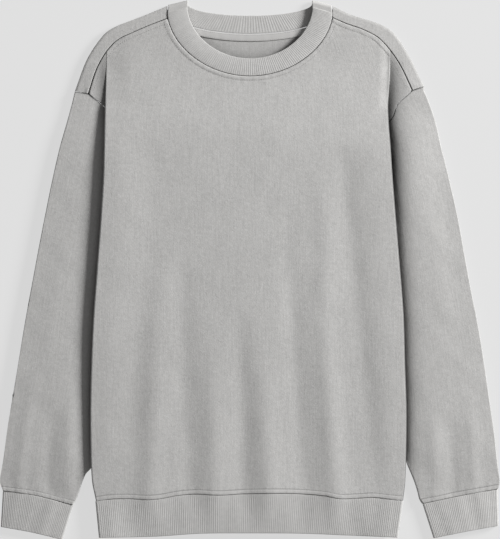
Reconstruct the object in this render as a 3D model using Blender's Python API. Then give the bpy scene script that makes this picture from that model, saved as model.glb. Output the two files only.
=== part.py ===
"""Crewneck sweatshirt lying flat, face up, its sides and sleeves tucked in under the front.

Each piece that a maker would cut is one cloth wall. A wall is a sheet of middle points, worked
out from the garment's outlines and heights, with an outer and an inner face moved out from it.
Lengths are in millimetres until the mesh is made. X runs to the right, Y to the collar, Z up.
"""

import bpy
import numpy as np

# ---- driving sizes, millimetres ----
CLOTH = 2.2                 # fleece wall
RIB_CLOTH = 2.2             # rib knit wall
RIB_HEIGHT = 0.5            # a rib above the wall
TAPE = 0.9                  # neck tape wall
SEAM_GAP = 0.3              # between pieces that are sewn together
NECK_GAP = 0.8              # the same at the neck, where straight edges meet a fine curve
FLOOR_LEVEL = CLOTH / 2     # middle of the fleece that lies on the surface
PITCH = CLOTH + 0.4         # one layer above the next
SLACK = 3.2                 # most extra height between two layers
EDGE_TURN = 2.95            # radius of the fold along the shoulders and sleeves
FRONT_TURN = 2.0            # radius of the front's fold along each side
TUCK_TURN = 1.4             # radius of the hidden folds
BACK_SETBACK = 6.0          # the back's fold lies this far inside the front's
CHEST_LEVEL = 4.6           # middle of the front over the back, low on the body
NECK_LEVEL = 7.0            # middle of the front at the neck and shoulders
CENTRE_SHIFT = (0.7, 0.3)   # brings the middle of the whole outline to the origin

# ---- outlines: y, distance from the middle line on the left, on the right ----
BODY_FOLD = np.array([      # visible fold along each side of the body
    (-356, 198.0, 193.8), (-301, 203.9, 201.0), (-280, 209.0, 203.6), (-248, 210.2, 204.7),
    (-185, 210.1, 205.2), (-122, 208.2, 203.2), (-59, 205.0, 201.3), (5, 200.3, 196.4),
    (68, 195.6, 191.1), (131, 191.9, 185.8), (195, 190.7, 181.5), (258, 190.0, 182.5),
    (320, 189.0, 182.5)])
SLEEVE_OUTLINE = np.array([  # fold along the outer side of each sleeve
    (-309, 325.4, 326.0), (-290, 325.4, 326.0), (-280, 329.0, 328.2), (-248, 324.4, 324.2),
    (-217, 320.3, 320.9), (-169, 312.8, 315.0), (-122, 304.9, 308.4), (-74, 297.1, 300.5),
    (-27, 288.6, 291.3), (20, 279.9, 282.7), (68, 270.6, 274.1), (115, 261.0, 263.6),
    (163, 250.0, 251.7), (197, 240.3, 243.8), (235, 230.2, 230.6)])
SLEEVE_INSIDE = np.array([   # fold along the underarm side of each sleeve, hidden above -255
    (-309, 233.3, 227.0), (-292, 224.2, 219.0), (-277, 217.0, 213.5), (-262, 209.6, 208.8),
    (-235, 201.0, 200.0), (-150, 183.0, 180.0), (-60, 168.0, 165.0), (20, 158.0, 154.0)])
ARMHOLE = np.array([         # seam between body and sleeve; below it follows the hidden tuck
    (195, 164.4, 155.2), (215, 190.0, 181.5), (230, 211.8, 211.0)])
SIDE_TUCK = np.array([       # how far the folded side reaches in under the front
    (-356, 32.0, 32.0), (-301, 36.0, 36.0), (-200, 42.0, 42.0), (-100, 46.0, 46.0),
    (28, 50.0, 50.0), (100, 47.0, 47.0), (150, 41.0, 41.0), (195, 29.5, 29.5),
    (215, 17.0, 17.0), (232, 10.0, 10.0), (275, 4.5, 4.5)])

# ---- shoulder lines from the sleeve to the neck: y and distance, left then right ----
SHOULDER_FOLD = np.array([
    (235.0, 230.2, 235.0, 230.6), (281.4, 211.8, 285.0, 207.0), (301.4, 198.4, 300.0, 198.0),
    (312.4, 188.5, 311.7, 188.5), (319.6, 176.6, 320.9, 175.2), (327.5, 156.3, 328.3, 155.0),
    (336.7, 132.7, 335.8, 131.4), (346.8, 108.5, 346.8, 108.5)])
SHOULDER_SEAM = np.array([
    (231.6, 212.6, 231.6, 212.6), (267.8, 200.0, 272.8, 195.1), (289.7, 186.5, 291.3, 181.9),
    (301.4, 174.8, 305.1, 168.4), (310.7, 156.3, 314.3, 151.6), (320.9, 132.7, 324.1, 124.7),
    (330.0, 109.0, 331.0, 109.0)])

# ---- neck lines: half width, y of the sides, drop to the middle, roundness of the curve ----
NECK = {
    "front seam": (108.4, 337.0, 82.0, 1.15), "front edge": (82.3, 345.0, 67.2, 1.1),
    "back seam": (107.5, 343.9, 33.1, 1.0), "back edge": (81.8, 350.2, 15.8, 1.0)}
NECK_RIBS = (88, 60)        # on the front half, on the back half
COLLAR_LEVEL = 8.6          # middle of the collar's free edge at the front

# ---- hem and cuffs ----
HEM_SEAM = (-296.2, 6.5)    # y in the middle, and the drop at the sides
HEM_BOTTOM = (-347.3, 5.8)
HEM_RIBS = 120              # ribs that show across the front
CUFF_RIBS = 27
CUFF_SEAM = {"left": ((-325.4, -291.3), (-287, -296.7), (-233.3, -310.0)),
             "right": ((326.0, -289.0), (287, -296.0), (227.5, -308.0))}
CUFF_BOTTOM = {"left": ((-328.2, -339.0), (-287, -346.2), (-247.6, -355.4)),
               "right": ((327.2, -337.5), (285, -345.0), (242.0, -353.5))}

# ---- soft folds down the front: x and y of the top, x at the hem, height, width ----
BODY_FOLDS = [
    (-118, 70, -131, 1.8, 17), (-52, -40, -46, 1.5, 15), (14, -60, 25, 2.0, 17),
    (88, 60, 112, 2.1, 16)]

# ---- steps of the grids ----
SIDE_AT = np.array([4, 3, 2.75, 2.5, 2.25, 2, 1, 0.75, 0.5, 0.25, 0])
SIDE_LAST = np.array([2.5] + [0.0] * 10)   # width of the last layer at the shoulder
MAIN_STEPS = (5, 16)        # columns along each shoulder, round the neck
NECK_SHARE = 0.52           # of the body's width, under the neck
NECK_ENDS = {"front": 0.13, "back": 0.04}   # angle where each neck seam leaves the shoulder
YOKE_ROWS = {"front": (203.0, 215.0, 223.0, 231.2, 245.0),
             "back": (203.0, 215.0, 229.8, 234.2, 256.0, 278.0)}
BODY_ROWS = np.array([-284, -250, -200, -145, -90, -40, 6, 24, 60, 105, 150, 195.])
YOKE_Y = 195.0
COLOURS = {"fleece": (0.46, 0.455, 0.45, 1), "rib": (0.44, 0.435, 0.43, 1),
           "tape": (0.42, 0.415, 0.41, 1)}
SIDES = {"left": -1, "right": 1}


# ---------------------------------------------------------------- curves

def smooth(start, end, value):
    """Soft step: 0 at start, 1 at end."""
    t = np.clip((np.asarray(value, float) - start) / (end - start), 0, 1)
    return t * t * (3 - 2 * t)


def across(table, side, y):
    """Distance from the middle line at y: a smooth curve through a table's rows."""
    rows = table[np.argsort(table[:, 0])]
    at, value = rows[:, 0], rows[:, 1 if side < 0 else 2]
    slope = np.gradient(value, at)
    y = np.clip(np.asarray(y, float), at[0], at[-1])
    i = np.clip(np.searchsorted(at, y) - 1, 0, len(at) - 2)
    step = at[i + 1] - at[i]
    t = (y - at[i]) / step
    return ((2 * t**3 - 3 * t**2 + 1) * value[i] + (t**3 - 2 * t**2 + t) * step * slope[i]
            + (3 * t**2 - 2 * t**3) * value[i + 1] + (t**3 - t**2) * step * slope[i + 1])


def along(points, fraction):
    """Points at fractions of a polyline's length."""
    points = np.asarray(points, float)
    length = np.concatenate([[0], np.cumsum(np.linalg.norm(np.diff(points, axis=0), axis=1))])
    at = np.asarray(fraction, float) * length[-1]
    return np.stack([np.interp(at, length, points[:, k]) for k in range(points.shape[1])], axis=-1)


def shoulder_line(table, side):
    """One side's shoulder line as (distance, y) points from the sleeve to the neck."""
    first = 0 if side < 0 else 2
    return table[:, [first + 1, first]]


def seam_distance(side, y):
    """Distance of the forward shoulder seam from the middle line at y."""
    line = shoulder_line(SHOULDER_SEAM, side)
    return np.interp(y, line[:, 1], line[:, 0])


def inset_fold(side):
    """The shoulder fold moved in by its radius, with the inward directions at its points."""
    fold = shoulder_line(SHOULDER_FOLD, side)
    share = np.linspace(0, 1, 25)
    outer = along(fold, share)
    inward = along(shoulder_line(SHOULDER_SEAM, side), share) - outer
    inward /= np.linalg.norm(inward, axis=1)[:, None]
    return outer + inward * EDGE_TURN, inward, share


def neck_curve(name, angle, grow=0.0):
    """Half of a neck line: angle 0 is the right side, pi/2 the middle, pi the left side."""
    half, sides, drop, roundness = NECK[name]
    y = sides - (drop + grow) * np.abs(np.sin(angle)) ** roundness
    return np.stack([(half + grow) * np.cos(angle), y], axis=-1)


def hem_line(line, x):
    """Y of the hem seam or of the waistband's edge at x: lowest at the sides."""
    return line[0] - line[1] * np.clip(np.abs(x) / 203, 0, 1.1) ** 2.5


# ---------------------------------------------------------------- heights

def fold_closing(panel, y):
    """How far a panel's side fold has closed at y: the angle of its turns, up to a half turn."""
    closing = smooth(276, 236, y) if panel == "front" else smooth(268, 222, y)
    return np.maximum(np.pi * closing, 1e-3)


def lift(y):
    """Height of the back's hidden layers under the sleeve at y."""
    flat = np.maximum(across(SIDE_TUCK, 1, y) - BACK_SETBACK - 2 * TUCK_TURN, 0.4)
    return fold_path(3.0, fold_closing("back", y), flat, 0.0, (TUCK_TURN, TUCK_TURN))[1]


def layers(side, distance, y):
    """Levels (lower, upper) of the two layers beside the body's fold: armhole, sleeve."""
    out = distance - across(BODY_FOLD, side, y)
    near_hem = smooth(-262, -285, y)
    raised = lift(y) * smooth(34, 4, out) * (1 - near_hem)
    slack = SLACK * np.maximum(smooth(6, 46, out), smooth(236, 272, y))
    slack = np.maximum(slack, smooth(200, 214, y))
    edge = across(SLEEVE_OUTLINE, side, y) - distance
    slack = slack - 1.2 * smooth(40, 4, edge) * smooth(200, 120, y)
    cuff_end = smooth(-255, -300, y)
    slack = np.maximum(slack * (1 - cuff_end) + 1.9 * cuff_end, 1.4 * near_hem)
    lower = FLOOR_LEVEL + raised
    return lower, lower + PITCH + slack


def return_level(y):
    """Level of the front's hidden return along the side seam, low where no sleeve lies in it."""
    sleeve = smooth(-292, -255, y)
    return FLOOR_LEVEL + 2 * TUCK_TURN + 3.7 + sleeve * (2 * PITCH - 0.7)


def seam_level(y):
    """Level at which front and back meet in the side seam."""
    return (return_level(y) + FLOOR_LEVEL + 2 * TUCK_TURN) / 2


def front_level(x, y, edges):
    """Level of the front: high over the tucked sides, low in the middle, with its soft folds."""
    level = CHEST_LEVEL + (NECK_LEVEL - CHEST_LEVEL) * smooth(120, 250, y)
    for top_x, top_y, hem_x, height, width in BODY_FOLDS:
        down = np.clip((top_y - y) / (top_y + 296), 0, 1.2)
        middle = top_x + (hem_x - top_x) * down
        grow = smooth(0, 0.75, down) * smooth(-352, -296, y)
        level = level + height * grow * np.exp(-((x - middle) / width) ** 2)
    for side, edge in edges:
        inward = across(BODY_FOLD, side, y) - side * x
        tuck = np.maximum(across(SIDE_TUCK, side, y), 12)
        level = level + (edge - level) * smooth(tuck + 90, 0.85 * tuck, inward)
    return level


# ---------------------------------------------------------------- the folded sides

def fold_path(at, angle, flat, seam, turns):
    """Middle line of a side fold: a turn of `angle`, a straight stretch and a turn back.

    `at` runs 0 to 3 along them. Gives the distance outward and the fall. Where `seam` is 1
    the second turn is only a quarter, so that the line ends pointing across the layers.
    """
    first, second = (np.pi * radius / angle for radius in turns)
    a, b, c = (np.clip(at - k, 0, 1) for k in range(3))
    back = angle - angle * (1 - seam / 2) * c
    out = first * np.sin(angle * a) + b * flat * np.cos(angle)
    out = out + second * (np.sin(angle) - np.sin(back))
    fall = first * (1 - np.cos(angle * a)) + b * flat * np.sin(angle)
    fall = fall + second * (np.cos(back) - np.cos(angle))
    return out, fall


def side_fold(panel, side, y, at):
    """Distance and level of a panel's side at y, and the level where its main part starts.

    `at` runs from 0, where the fold starts, to 4, at the panel's seam. Along the armhole the
    last layer turns outward to the sleeve. Along the side seam it ends across the layers.
    """
    y = np.asarray(y, float)
    front = panel == "front"
    angle = fold_closing(panel, y)
    wide = 0.1 * smooth(-200, -290, y)
    turns = (FRONT_TURN if front else TUCK_TURN, TUCK_TURN + wide)
    setback = 0 if front else BACK_SETBACK
    tuck = across(SIDE_TUCK, side, y) - setback
    start = across(BODY_FOLD, side, y) - turns[0] - setback
    flat = np.maximum(tuck - turns[0] - turns[1], 0.4)
    seam = smooth(22, 8, y)
    out, fall = fold_path(at, angle, flat, seam, turns)
    end_out, end_fall = fold_path(np.full(np.shape(at), 3.0), angle, flat, seam, turns)
    last = np.clip(at - 3, 0, 1)
    corner = start + end_out
    edge = panel_boundary(panel, side, y, corner)
    reach = (edge - corner) * last * (1 - seam)
    level = layers(side, corner + reach, y)[1 if front else 0]
    corner_level = layers(side, corner, y)[1 if front else 0]
    gap = 0.7 * SEAM_GAP * (1 if front else -1)
    if front:
        top = (corner_level + end_fall) * (1 - seam) + seam * (return_level(y) + 2 * turns[0])
        arc_end = top - end_fall
        height = top - fall
    else:
        top = np.full(np.shape(y), FLOOR_LEVEL)
        arc_end = top + end_fall
        height = top + fall
    drop = (seam_level(y) + gap - arc_end) * last * seam
    height = height + (level - corner_level) * (1 - seam) * (last > 0) + drop
    return start + out + reach, height, top


def panel_boundary(panel, side, y, corner):
    """Distance of a panel's side edge at y: armhole seam, then the shoulder line above it."""
    armhole = np.interp(y, ARMHOLE[:, 0], ARMHOLE[:, 1 if side < 0 else 2])
    armhole = np.where(y < YOKE_Y, corner + 1.8, np.maximum(armhole, corner + 1.8))
    if panel == "front":
        return np.where(y > 231, seam_distance(side, y) - SEAM_GAP, armhole)
    inset, _, _ = inset_fold(side)
    above = np.interp(y, inset[:, 1], inset[:, 0])
    return np.where(y > inset[0, 1], above, np.interp(y, [230, inset[0, 1]], [211.8, inset[0, 0]])
                    * (y > 230) + armhole * (y <= 230))


# ---------------------------------------------------------------- panels

def height_of(line, distance):
    """Y at which a shoulder line, which nears the middle as it rises, is at a distance."""
    return np.interp(distance, line[::-1, 0], line[::-1, 1])


def shoulder_edge(panel, side):
    """The line where a panel's main part ends along the shoulder, as (distance, y) points."""
    if panel == "front":
        line = shoulder_line(SHOULDER_SEAM, side).copy()
        line[:, 0] -= SEAM_GAP
        return line
    return inset_fold(side)[0]


def side_tops(panel, side):
    """Y at which each column of a side fold meets the shoulder line."""
    line = shoulder_edge(panel, side)
    y = height_of(line, side_fold(panel, side, 300.0, SIDE_AT * 0.75)[0])
    for _ in range(6):
        y = 0.5 * (y + height_of(line, side_fold(panel, side, y, np.minimum(SIDE_AT, 3))[0] + SIDE_LAST))
    return y


def main_tops(panel, tops):
    """Top ends (x, y) of a panel's main columns, from the left side to the right."""
    ends = []
    for side in (-1, 1):
        line = shoulder_edge(panel, side)
        y = np.linspace(tops[side][-1], line[-1, 1] - 0.2, MAIN_STEPS[0] + 1)
        ends.append(np.stack([side * np.interp(y, line[:, 1], line[:, 0]), y], axis=-1))
    angles = np.linspace(np.pi - NECK_ENDS[panel], NECK_ENDS[panel], MAIN_STEPS[1] + 1)
    neck = neck_curve(panel + " seam", angles, NECK_GAP)
    return np.concatenate([ends[0], neck[1:-1], ends[1][::-1]])


def panel_row(panel, side_y, main_x, main_y):
    """One row of a panel's middle points, from its left seam to its right seam."""
    left_x, left_z, _ = side_fold(panel, -1, side_y[-1], SIDE_AT)
    right_x, right_z, _ = side_fold(panel, 1, side_y[1], SIDE_AT)
    level = np.full(len(main_x), FLOOR_LEVEL)
    if panel == "front":
        edges = [(side, side_fold(panel, side, main_y, 0.0)[2]) for side in (-1, 1)]
        level = front_level(main_x, main_y, edges)
    x = np.concatenate([-left_x, main_x[1:-1], right_x[::-1]])
    y = np.concatenate([side_y[-1], main_y[1:-1], side_y[1][::-1]])
    z = np.concatenate([left_z, level[1:-1], right_z[::-1]])
    return np.stack([x, y, z], axis=-1)


def panel_grid(panel):
    """Middle points of a panel, a row at a time from the hem to the shoulders and neck."""
    shoulder_steps = np.linspace(1, NECK_SHARE, MAIN_STEPS[0] + 1)[:-1]
    neck_steps = np.linspace(-NECK_SHARE, NECK_SHARE, MAIN_STEPS[1] + 1)
    steps = np.concatenate([-shoulder_steps, neck_steps, shoulder_steps[::-1]])
    starts = {side: lambda y, side=side: side_fold(panel, side, y, 0.0)[0] for side in (-1, 1)}

    def main_line(y):
        return np.where(steps < 0, steps * starts[-1](y), steps * starts[1](y))

    rows = []
    hem_x = main_line(-300.0)
    hem_y = {side: hem_line(HEM_SEAM, side_fold(panel, side, -300.0, SIDE_AT)[0]) + SEAM_GAP
             for side in (-1, 1)}
    rows.append(panel_row(panel, hem_y, hem_x, hem_line(HEM_SEAM, hem_x) + SEAM_GAP))
    for y in BODY_ROWS:
        level = {side: np.full(len(SIDE_AT), y) for side in (-1, 1)}
        rows.append(panel_row(panel, level, main_line(y), np.full(len(steps), y)))
    tops = {side: side_tops(panel, side) for side in (-1, 1)}
    ends = main_tops(panel, tops)
    low_x = main_line(YOKE_Y)
    for edge_y in YOKE_ROWS[panel] + (None,):
        share = {side: 1.0 if edge_y is None else (edge_y - YOKE_Y) / (tops[side][0] - YOKE_Y)
                 for side in (-1, 1)}
        mix = np.linspace(share[-1], share[1], len(steps))
        side_y = {side: YOKE_Y + (tops[side] - YOKE_Y) * share[side] for side in (-1, 1)}
        main_x = low_x + (ends[:, 0] - low_x) * mix
        main_y = YOKE_Y + (ends[:, 1] - YOKE_Y) * mix
        rows.append(panel_row(panel, side_y, main_x, main_y))
    return np.array(rows)


def grid_faces(rows, columns, closed=False, first=0):
    """Index quads of a grid, closed on itself across its columns if it is a ring."""
    index = first + np.arange(rows * columns).reshape(rows, columns)
    right = np.roll(index, -1, axis=1)
    if not closed:
        index, right = index[:, :-1], right[:, :-1]
    return np.stack([index[:-1], right[:-1], right[1:], index[1:]], axis=-1).reshape(-1, 4)


def wrap_over_shoulder(grid, side):
    """Rows that carry the back over the shoulder fold to the forward seam, and their faces."""
    rows, columns = grid.shape[:2]
    index = np.arange(rows * columns).reshape(rows, columns)
    inset, inward, share = inset_fold(side)
    if side < 0:
        border = np.concatenate([index[:-1, 0], index[-1, :len(SIDE_AT) + MAIN_STEPS[0]]])
    else:
        border = np.concatenate([index[:-1, -1], index[-1, ::-1][:len(SIDE_AT) + MAIN_STEPS[0]]])
    points = grid.reshape(-1, 3)
    border = border[points[border, 1] > inset[0, 1] - 0.5]
    at = np.interp(points[border, 1], inset[:, 1], share)
    fold = along(shoulder_line(SHOULDER_FOLD, side), at)
    seam = along(shoulder_line(SHOULDER_SEAM, side), at) + [1.2, 0.9]
    turn = np.stack([np.interp(at, share, inward[:, k]) for k in range(2)], axis=-1)
    new_rows = []
    for angle in np.linspace(0, np.pi, 5)[1:]:
        flat = fold + turn * EDGE_TURN * (1 - np.sin(angle))
        level = np.full(len(at), FLOOR_LEVEL + EDGE_TURN * (1 - np.cos(angle)))
        new_rows.append(np.column_stack([side * flat[:, 0], flat[:, 1], level]))
    start = new_rows[-1]
    end_level = layers(side, seam[:, 0], seam[:, 1])[1]
    end = np.column_stack([side * seam[:, 0], seam[:, 1], end_level])
    new_rows += [start + (end - start) * step for step in (0.5, 1.0)]
    return border, np.array(new_rows)


def strip_faces(border, first, rows):
    """Quads of rows that grow from a line of points that are already there."""
    count = len(border)
    index = np.concatenate([border, first + np.arange(rows * count)]).reshape(rows + 1, count)
    return np.stack([index[:-1, :-1], index[:-1, 1:], index[1:, 1:], index[1:, :-1]],
                    axis=-1).reshape(-1, 4)


# ---------------------------------------------------------------- walls

def point_normals(points, quads):
    """Unit normals of a quad sheet's points, from the quads round each."""
    corner = points[quads]
    face = np.cross(corner[:, 2] - corner[:, 0], corner[:, 3] - corner[:, 1])
    total = np.zeros_like(points)
    for k in range(4):
        np.add.at(total, quads[:, k], face)
    return total / np.maximum(np.linalg.norm(total, axis=1), 1e-9)[:, None]


def wall(points, quads, thickness, outer=0.0, inner=0.0):
    """Close a sheet of middle points into a wall.

    Each face lies half a thickness from the sheet, plus the heights `outer` and `inner`, which
    may differ from point to point. Quads join the two faces along every open edge.
    """
    normal = point_normals(points, quads)
    top = points + normal * (thickness / 2 + np.reshape(outer, (-1, 1)))
    bottom = points - normal * (thickness / 2 + np.reshape(inner, (-1, 1)))
    count = len(points)
    edges = np.concatenate([quads[:, [k, (k + 1) % 4]] for k in range(4)])
    keys = {tuple(edge) for edge in edges.tolist()}
    rim = [(b, a, a + count, b + count) for a, b in sorted(keys) if (b, a) not in keys]
    faces = np.concatenate([quads, quads[:, ::-1] + count, np.array(rim)])
    return np.concatenate([top, bottom]), faces


def add_piece(name, points, faces, material, collection):
    """Make one named object of a closed wall, its faces pointing out, in metres."""
    shifted = (points + [CENTRE_SHIFT[0], CENTRE_SHIFT[1], 0]) / 1000
    corner = shifted[faces]
    volume = sum(np.einsum("ij,ij->i", corner[:, 0], np.cross(corner[:, k], corner[:, k + 1])).sum()
                 for k in (1, 2))
    if volume < 0:
        faces = faces[:, ::-1]
    mesh = bpy.data.meshes.new(name)
    mesh.from_pydata(shifted.tolist(), [], faces.tolist())
    mesh.materials.append(material)
    mesh.shade_smooth()
    mesh.set_sharp_from_angle(angle=np.radians(50))
    piece = bpy.data.objects.new(name, mesh)
    collection.objects.link(piece)
    return piece


# ---------------------------------------------------------------- sleeves and cuffs

def armhole_line(side):
    """The sleeve's edge at the armhole, as (distance, y), from the shoulder to the underarm."""
    inset, _, _ = inset_fold(side)
    column = 1 if side < 0 else 2
    visible = [(inset[0, 0], 233.4)] + [(row[column] + 0.4, row[0] - 0.7) for row in ARMHOLE[::-1]]
    visible[1] = (visible[1][0], 229.0)
    hidden_y = np.array([150.0, 105.0, 60.0])
    hidden = side_fold("front", side, hidden_y, np.full(3, 3.0))[0] + 1.8 + 0.5
    underarm = (across(SLEEVE_INSIDE, side, 20.0), 24.0)
    return np.array(visible + list(zip(hidden, hidden_y)) + [underarm])


def patch(top, bottom, left, right, u, v):
    """Coons patch between four lines, on shares u across and v down."""
    u, v = u[None, :, None], v[:, None, None]
    ruled_down = (1 - v) * top[None] + v * bottom[None]
    ruled_across = (1 - u) * left[:, None] + u * right[:, None]
    corners = ((1 - u) * (1 - v) * top[0] + u * (1 - v) * top[-1]
               + (1 - u) * v * bottom[0] + u * v * bottom[-1])
    return ruled_down + ruled_across - corners


def flat_ring(upper, lower, side, steps=4):
    """Rings of a flattened tube: upper layer, half turn, lower layer back, half turn."""
    rings = []
    for top, low in zip(upper, lower):
        def turn(a, b, outward):
            radius = (a[2] - b[2]) / 2
            angle = np.linspace(0, np.pi, steps + 1)[1:-1, None]
            middle = (a + b) / 2
            return (middle + np.array([[side * outward, 0, 0]]) * abs(radius) * np.sin(angle)
                    + np.array([[0, 0, 1.0]]) * radius * np.cos(angle))
        inner = turn(top[-1], low[-1], -1)
        outer = turn(low[0], top[0], 1)
        rings.append(np.concatenate([top, inner, low[::-1], outer]))
    return np.array(rings)


def sleeve(side, name):
    """A sleeve: rings from the armhole to the cuff seam, on the levels beside the body."""
    top = armhole_line(side)
    length = np.concatenate([[0], np.cumsum(np.linalg.norm(np.diff(top, axis=0), axis=1))])
    u = length / length[-1]
    u = np.sort(np.concatenate([u, [(u[2] + u[1]) / 2, (u[3] + u[2]) / 2]]))
    v = np.array([0, 0.06, 0.13, 0.21, 0.3, 0.4, 0.5, 0.6, 0.7, 0.8, 0.88, 0.93, 0.97, 1])
    seam = np.abs(np.array(CUFF_SEAM[name])) * [1, -1] + [0, SEAM_GAP]
    outer_y = top[0, 1] + (seam[0, 1] - top[0, 1]) * v
    inner_y = top[-1, 1] + (seam[-1, 1] - top[-1, 1]) * v
    turn = 2.9 - 0.8 * smooth(-200, -290, outer_y)
    left = np.stack([across(SLEEVE_OUTLINE, side, outer_y) - turn, outer_y], axis=-1)
    left[0, 0] = top[0, 0]
    right = np.stack([across(SLEEVE_INSIDE, side, inner_y) + 1.4, inner_y], axis=-1)
    bottom = along(seam, u)
    bottom[0], bottom[-1], right[0] = left[-1], right[-1], top[-1]
    flat = patch(along(top, u), bottom, left, right, u, v)
    lower, upper = layers(side, flat[..., 0], flat[..., 1])
    x = side * flat[..., 0]
    return flat_ring(np.stack([x, flat[..., 1], upper], axis=-1),
                     np.stack([x, flat[..., 1], lower], axis=-1), side)


def cuff(side, name):
    """A ribbed cuff: a flat ring from the cuff seam to its free edge, and its rib heights."""
    ribs = 2 * CUFF_RIBS
    u = np.linspace(0, 1, ribs + 1)
    v = np.array([0, 1])
    turn = 1.9
    top = along(np.abs(np.array(CUFF_SEAM[name])) * [1, -1] - [0, SEAM_GAP], u)
    bottom = along(np.abs(np.array(CUFF_BOTTOM[name])) * [1, -1], u)
    flat = (1 - v[:, None, None]) * top + v[:, None, None] * bottom
    flat = flat - np.array([turn, 0]) * (1 - 2 * u[None, :, None])
    x = side * flat[..., 0]
    crown = 0.5 * np.sin(np.pi * u) * np.ones((2, 1))
    low = RIB_CLOTH / 2
    upper = np.stack([x, flat[..., 1], low + 2 * turn + crown], axis=-1)
    lower = np.stack([x, flat[..., 1], np.full_like(x, low)], axis=-1)[:, ::6]
    rings = flat_ring(upper, lower, side)
    height = np.zeros(rings.shape[:2])
    height[:, 1:ribs:2] = RIB_HEIGHT
    return rings, height


# ---------------------------------------------------------------- waistband, collar, tape

def waist_section(y):
    """Closed line of the waistband at y, as x and level, and its rib heights."""
    turn = {"front": FRONT_TURN, "back": 1.5}
    low = RIB_CLOTH / 2
    back_return = low + 2 * turn["back"]
    front_return = return_level(y)
    inner_turn = (front_return - back_return) / 2
    arc = np.linspace(0, np.pi, 5)
    parts = []
    for side in (-1, 1):
        fold = across(BODY_FOLD, side, y)
        inside = fold - across(SIDE_TUCK, side, y) + inner_turn
        front = fold - turn["front"]
        back = fold - BACK_SETBACK - turn["back"]
        x = np.concatenate([front + turn["front"] * np.sin(arc), [(front + inside) / 2],
                            inside - inner_turn * np.sin(arc), [(back + inside) / 2],
                            back + turn["back"] * np.sin(arc)])
        z = np.concatenate([front_return + turn["front"] * (1 + np.cos(arc)), [front_return],
                            back_return + inner_turn * (1 + np.cos(arc)), [back_return],
                            low + turn["back"] * (1 + np.cos(arc))])
        parts.append((side * x, z))
    (left_x, left_z), (right_x, right_z) = parts
    ribs = 2 * HEM_RIBS
    main_x = np.linspace(left_x[0], right_x[0], ribs + 1)[1:-1]
    edges = [(side, np.full(len(main_x), return_level(y) + 2 * FRONT_TURN)) for side in (-1, 1)]
    main_z = front_level(main_x, np.full(len(main_x), y), edges)
    back_x = np.linspace(right_x[-1], left_x[-1], 25)[1:-1]
    x = np.concatenate([main_x, right_x, back_x, left_x[::-1]])
    z = np.concatenate([main_z, right_z, np.full(len(back_x), low), left_z[::-1]])
    height = np.zeros(len(x))
    height[:ribs - 1:2] = RIB_HEIGHT
    return x, z, height


def waistband():
    """The waistband's rings, from the hem seam to its free edge, and its rib heights."""
    rings = []
    for line, drop in ((HEM_SEAM, SEAM_GAP), (HEM_BOTTOM, 0.0)):
        x, z, height = waist_section(-299.0 if line is HEM_SEAM else -351.0)
        rings.append(np.stack([x, hem_line(line, x) - drop, z], axis=-1))
    return np.array(rings), np.tile(height, (2, 1))


def collar_line(edge, levels):
    """Closed line of one edge of the collar: front half, left fold, back half, right fold."""
    front_level_, back_level_ = levels
    radius = (front_level_ - back_level_) / 2
    front = neck_curve("front " + edge, np.linspace(0, np.pi, 2 * NECK_RIBS[0] + 1))
    back = neck_curve("back " + edge, np.linspace(np.pi, 0, 2 * NECK_RIBS[1] + 1))
    arc = np.linspace(0, np.pi, 7)[1:-1]
    lines = [np.column_stack([front, np.full(len(front), front_level_)])]
    for end, start in ((front[-1], back[0]), (front[0], back[-1])):
        rise = np.linspace(0, 1, 4)[1:-1, None]
        up = end + (start - end) * rise
        up = np.vstack([np.column_stack([up, np.full(2, front_level_)]), [[*start, front_level_]]])
        over = np.column_stack([np.full(5, start[0]), start[1] + radius * np.sin(arc),
                                (front_level_ + back_level_) / 2 + radius * np.cos(arc)])
        lines.append(np.vstack([up, over]))
    lines.insert(2, np.column_stack([back, np.full(len(back), back_level_)]))
    lines[3] = lines[3][::-1]
    return np.vstack(lines), [len(line) for line in lines]


def collar():
    """The collar's rings and its rib heights on the outer side and, behind, on the inner."""
    low = RIB_CLOTH / 2
    seam, counts = collar_line("seam", (NECK_LEVEL, low))
    edge, _ = collar_line("edge", (COLLAR_LEVEL, low))
    rings = np.array([seam, edge])
    outer, inner = np.zeros(len(seam)), np.zeros(len(seam))
    outer[1:counts[0] - 1:2] = RIB_HEIGHT
    first = counts[0] + counts[1]
    inner[first + 1:first + counts[2] - 1:2] = RIB_HEIGHT
    return rings, np.tile(outer, (2, 1)), np.tile(inner, (2, 1))


def neck_tape(level):
    """Tape inside the back neck seam, from shoulder to shoulder."""
    angles = np.linspace(2.75, np.pi - 2.75, 17)
    rows = []
    for down in (1.0, 10.2):
        line = neck_curve("back seam", angles)
        rows.append(np.column_stack([line[:, 0], line[:, 1] - down, np.full(len(line), level)]))
    return np.array(rows)


# ---------------------------------------------------------------- the garment

def material(name, colour, roughness):
    """A plain cloth material."""
    cloth = bpy.data.materials.new(name)
    cloth.use_nodes = True
    shader = cloth.node_tree.nodes["Principled BSDF"]
    shader.inputs["Base Color"].default_value = colour
    shader.inputs["Roughness"].default_value = roughness
    shader.inputs["Metallic"].default_value = 0.0
    return cloth


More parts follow.
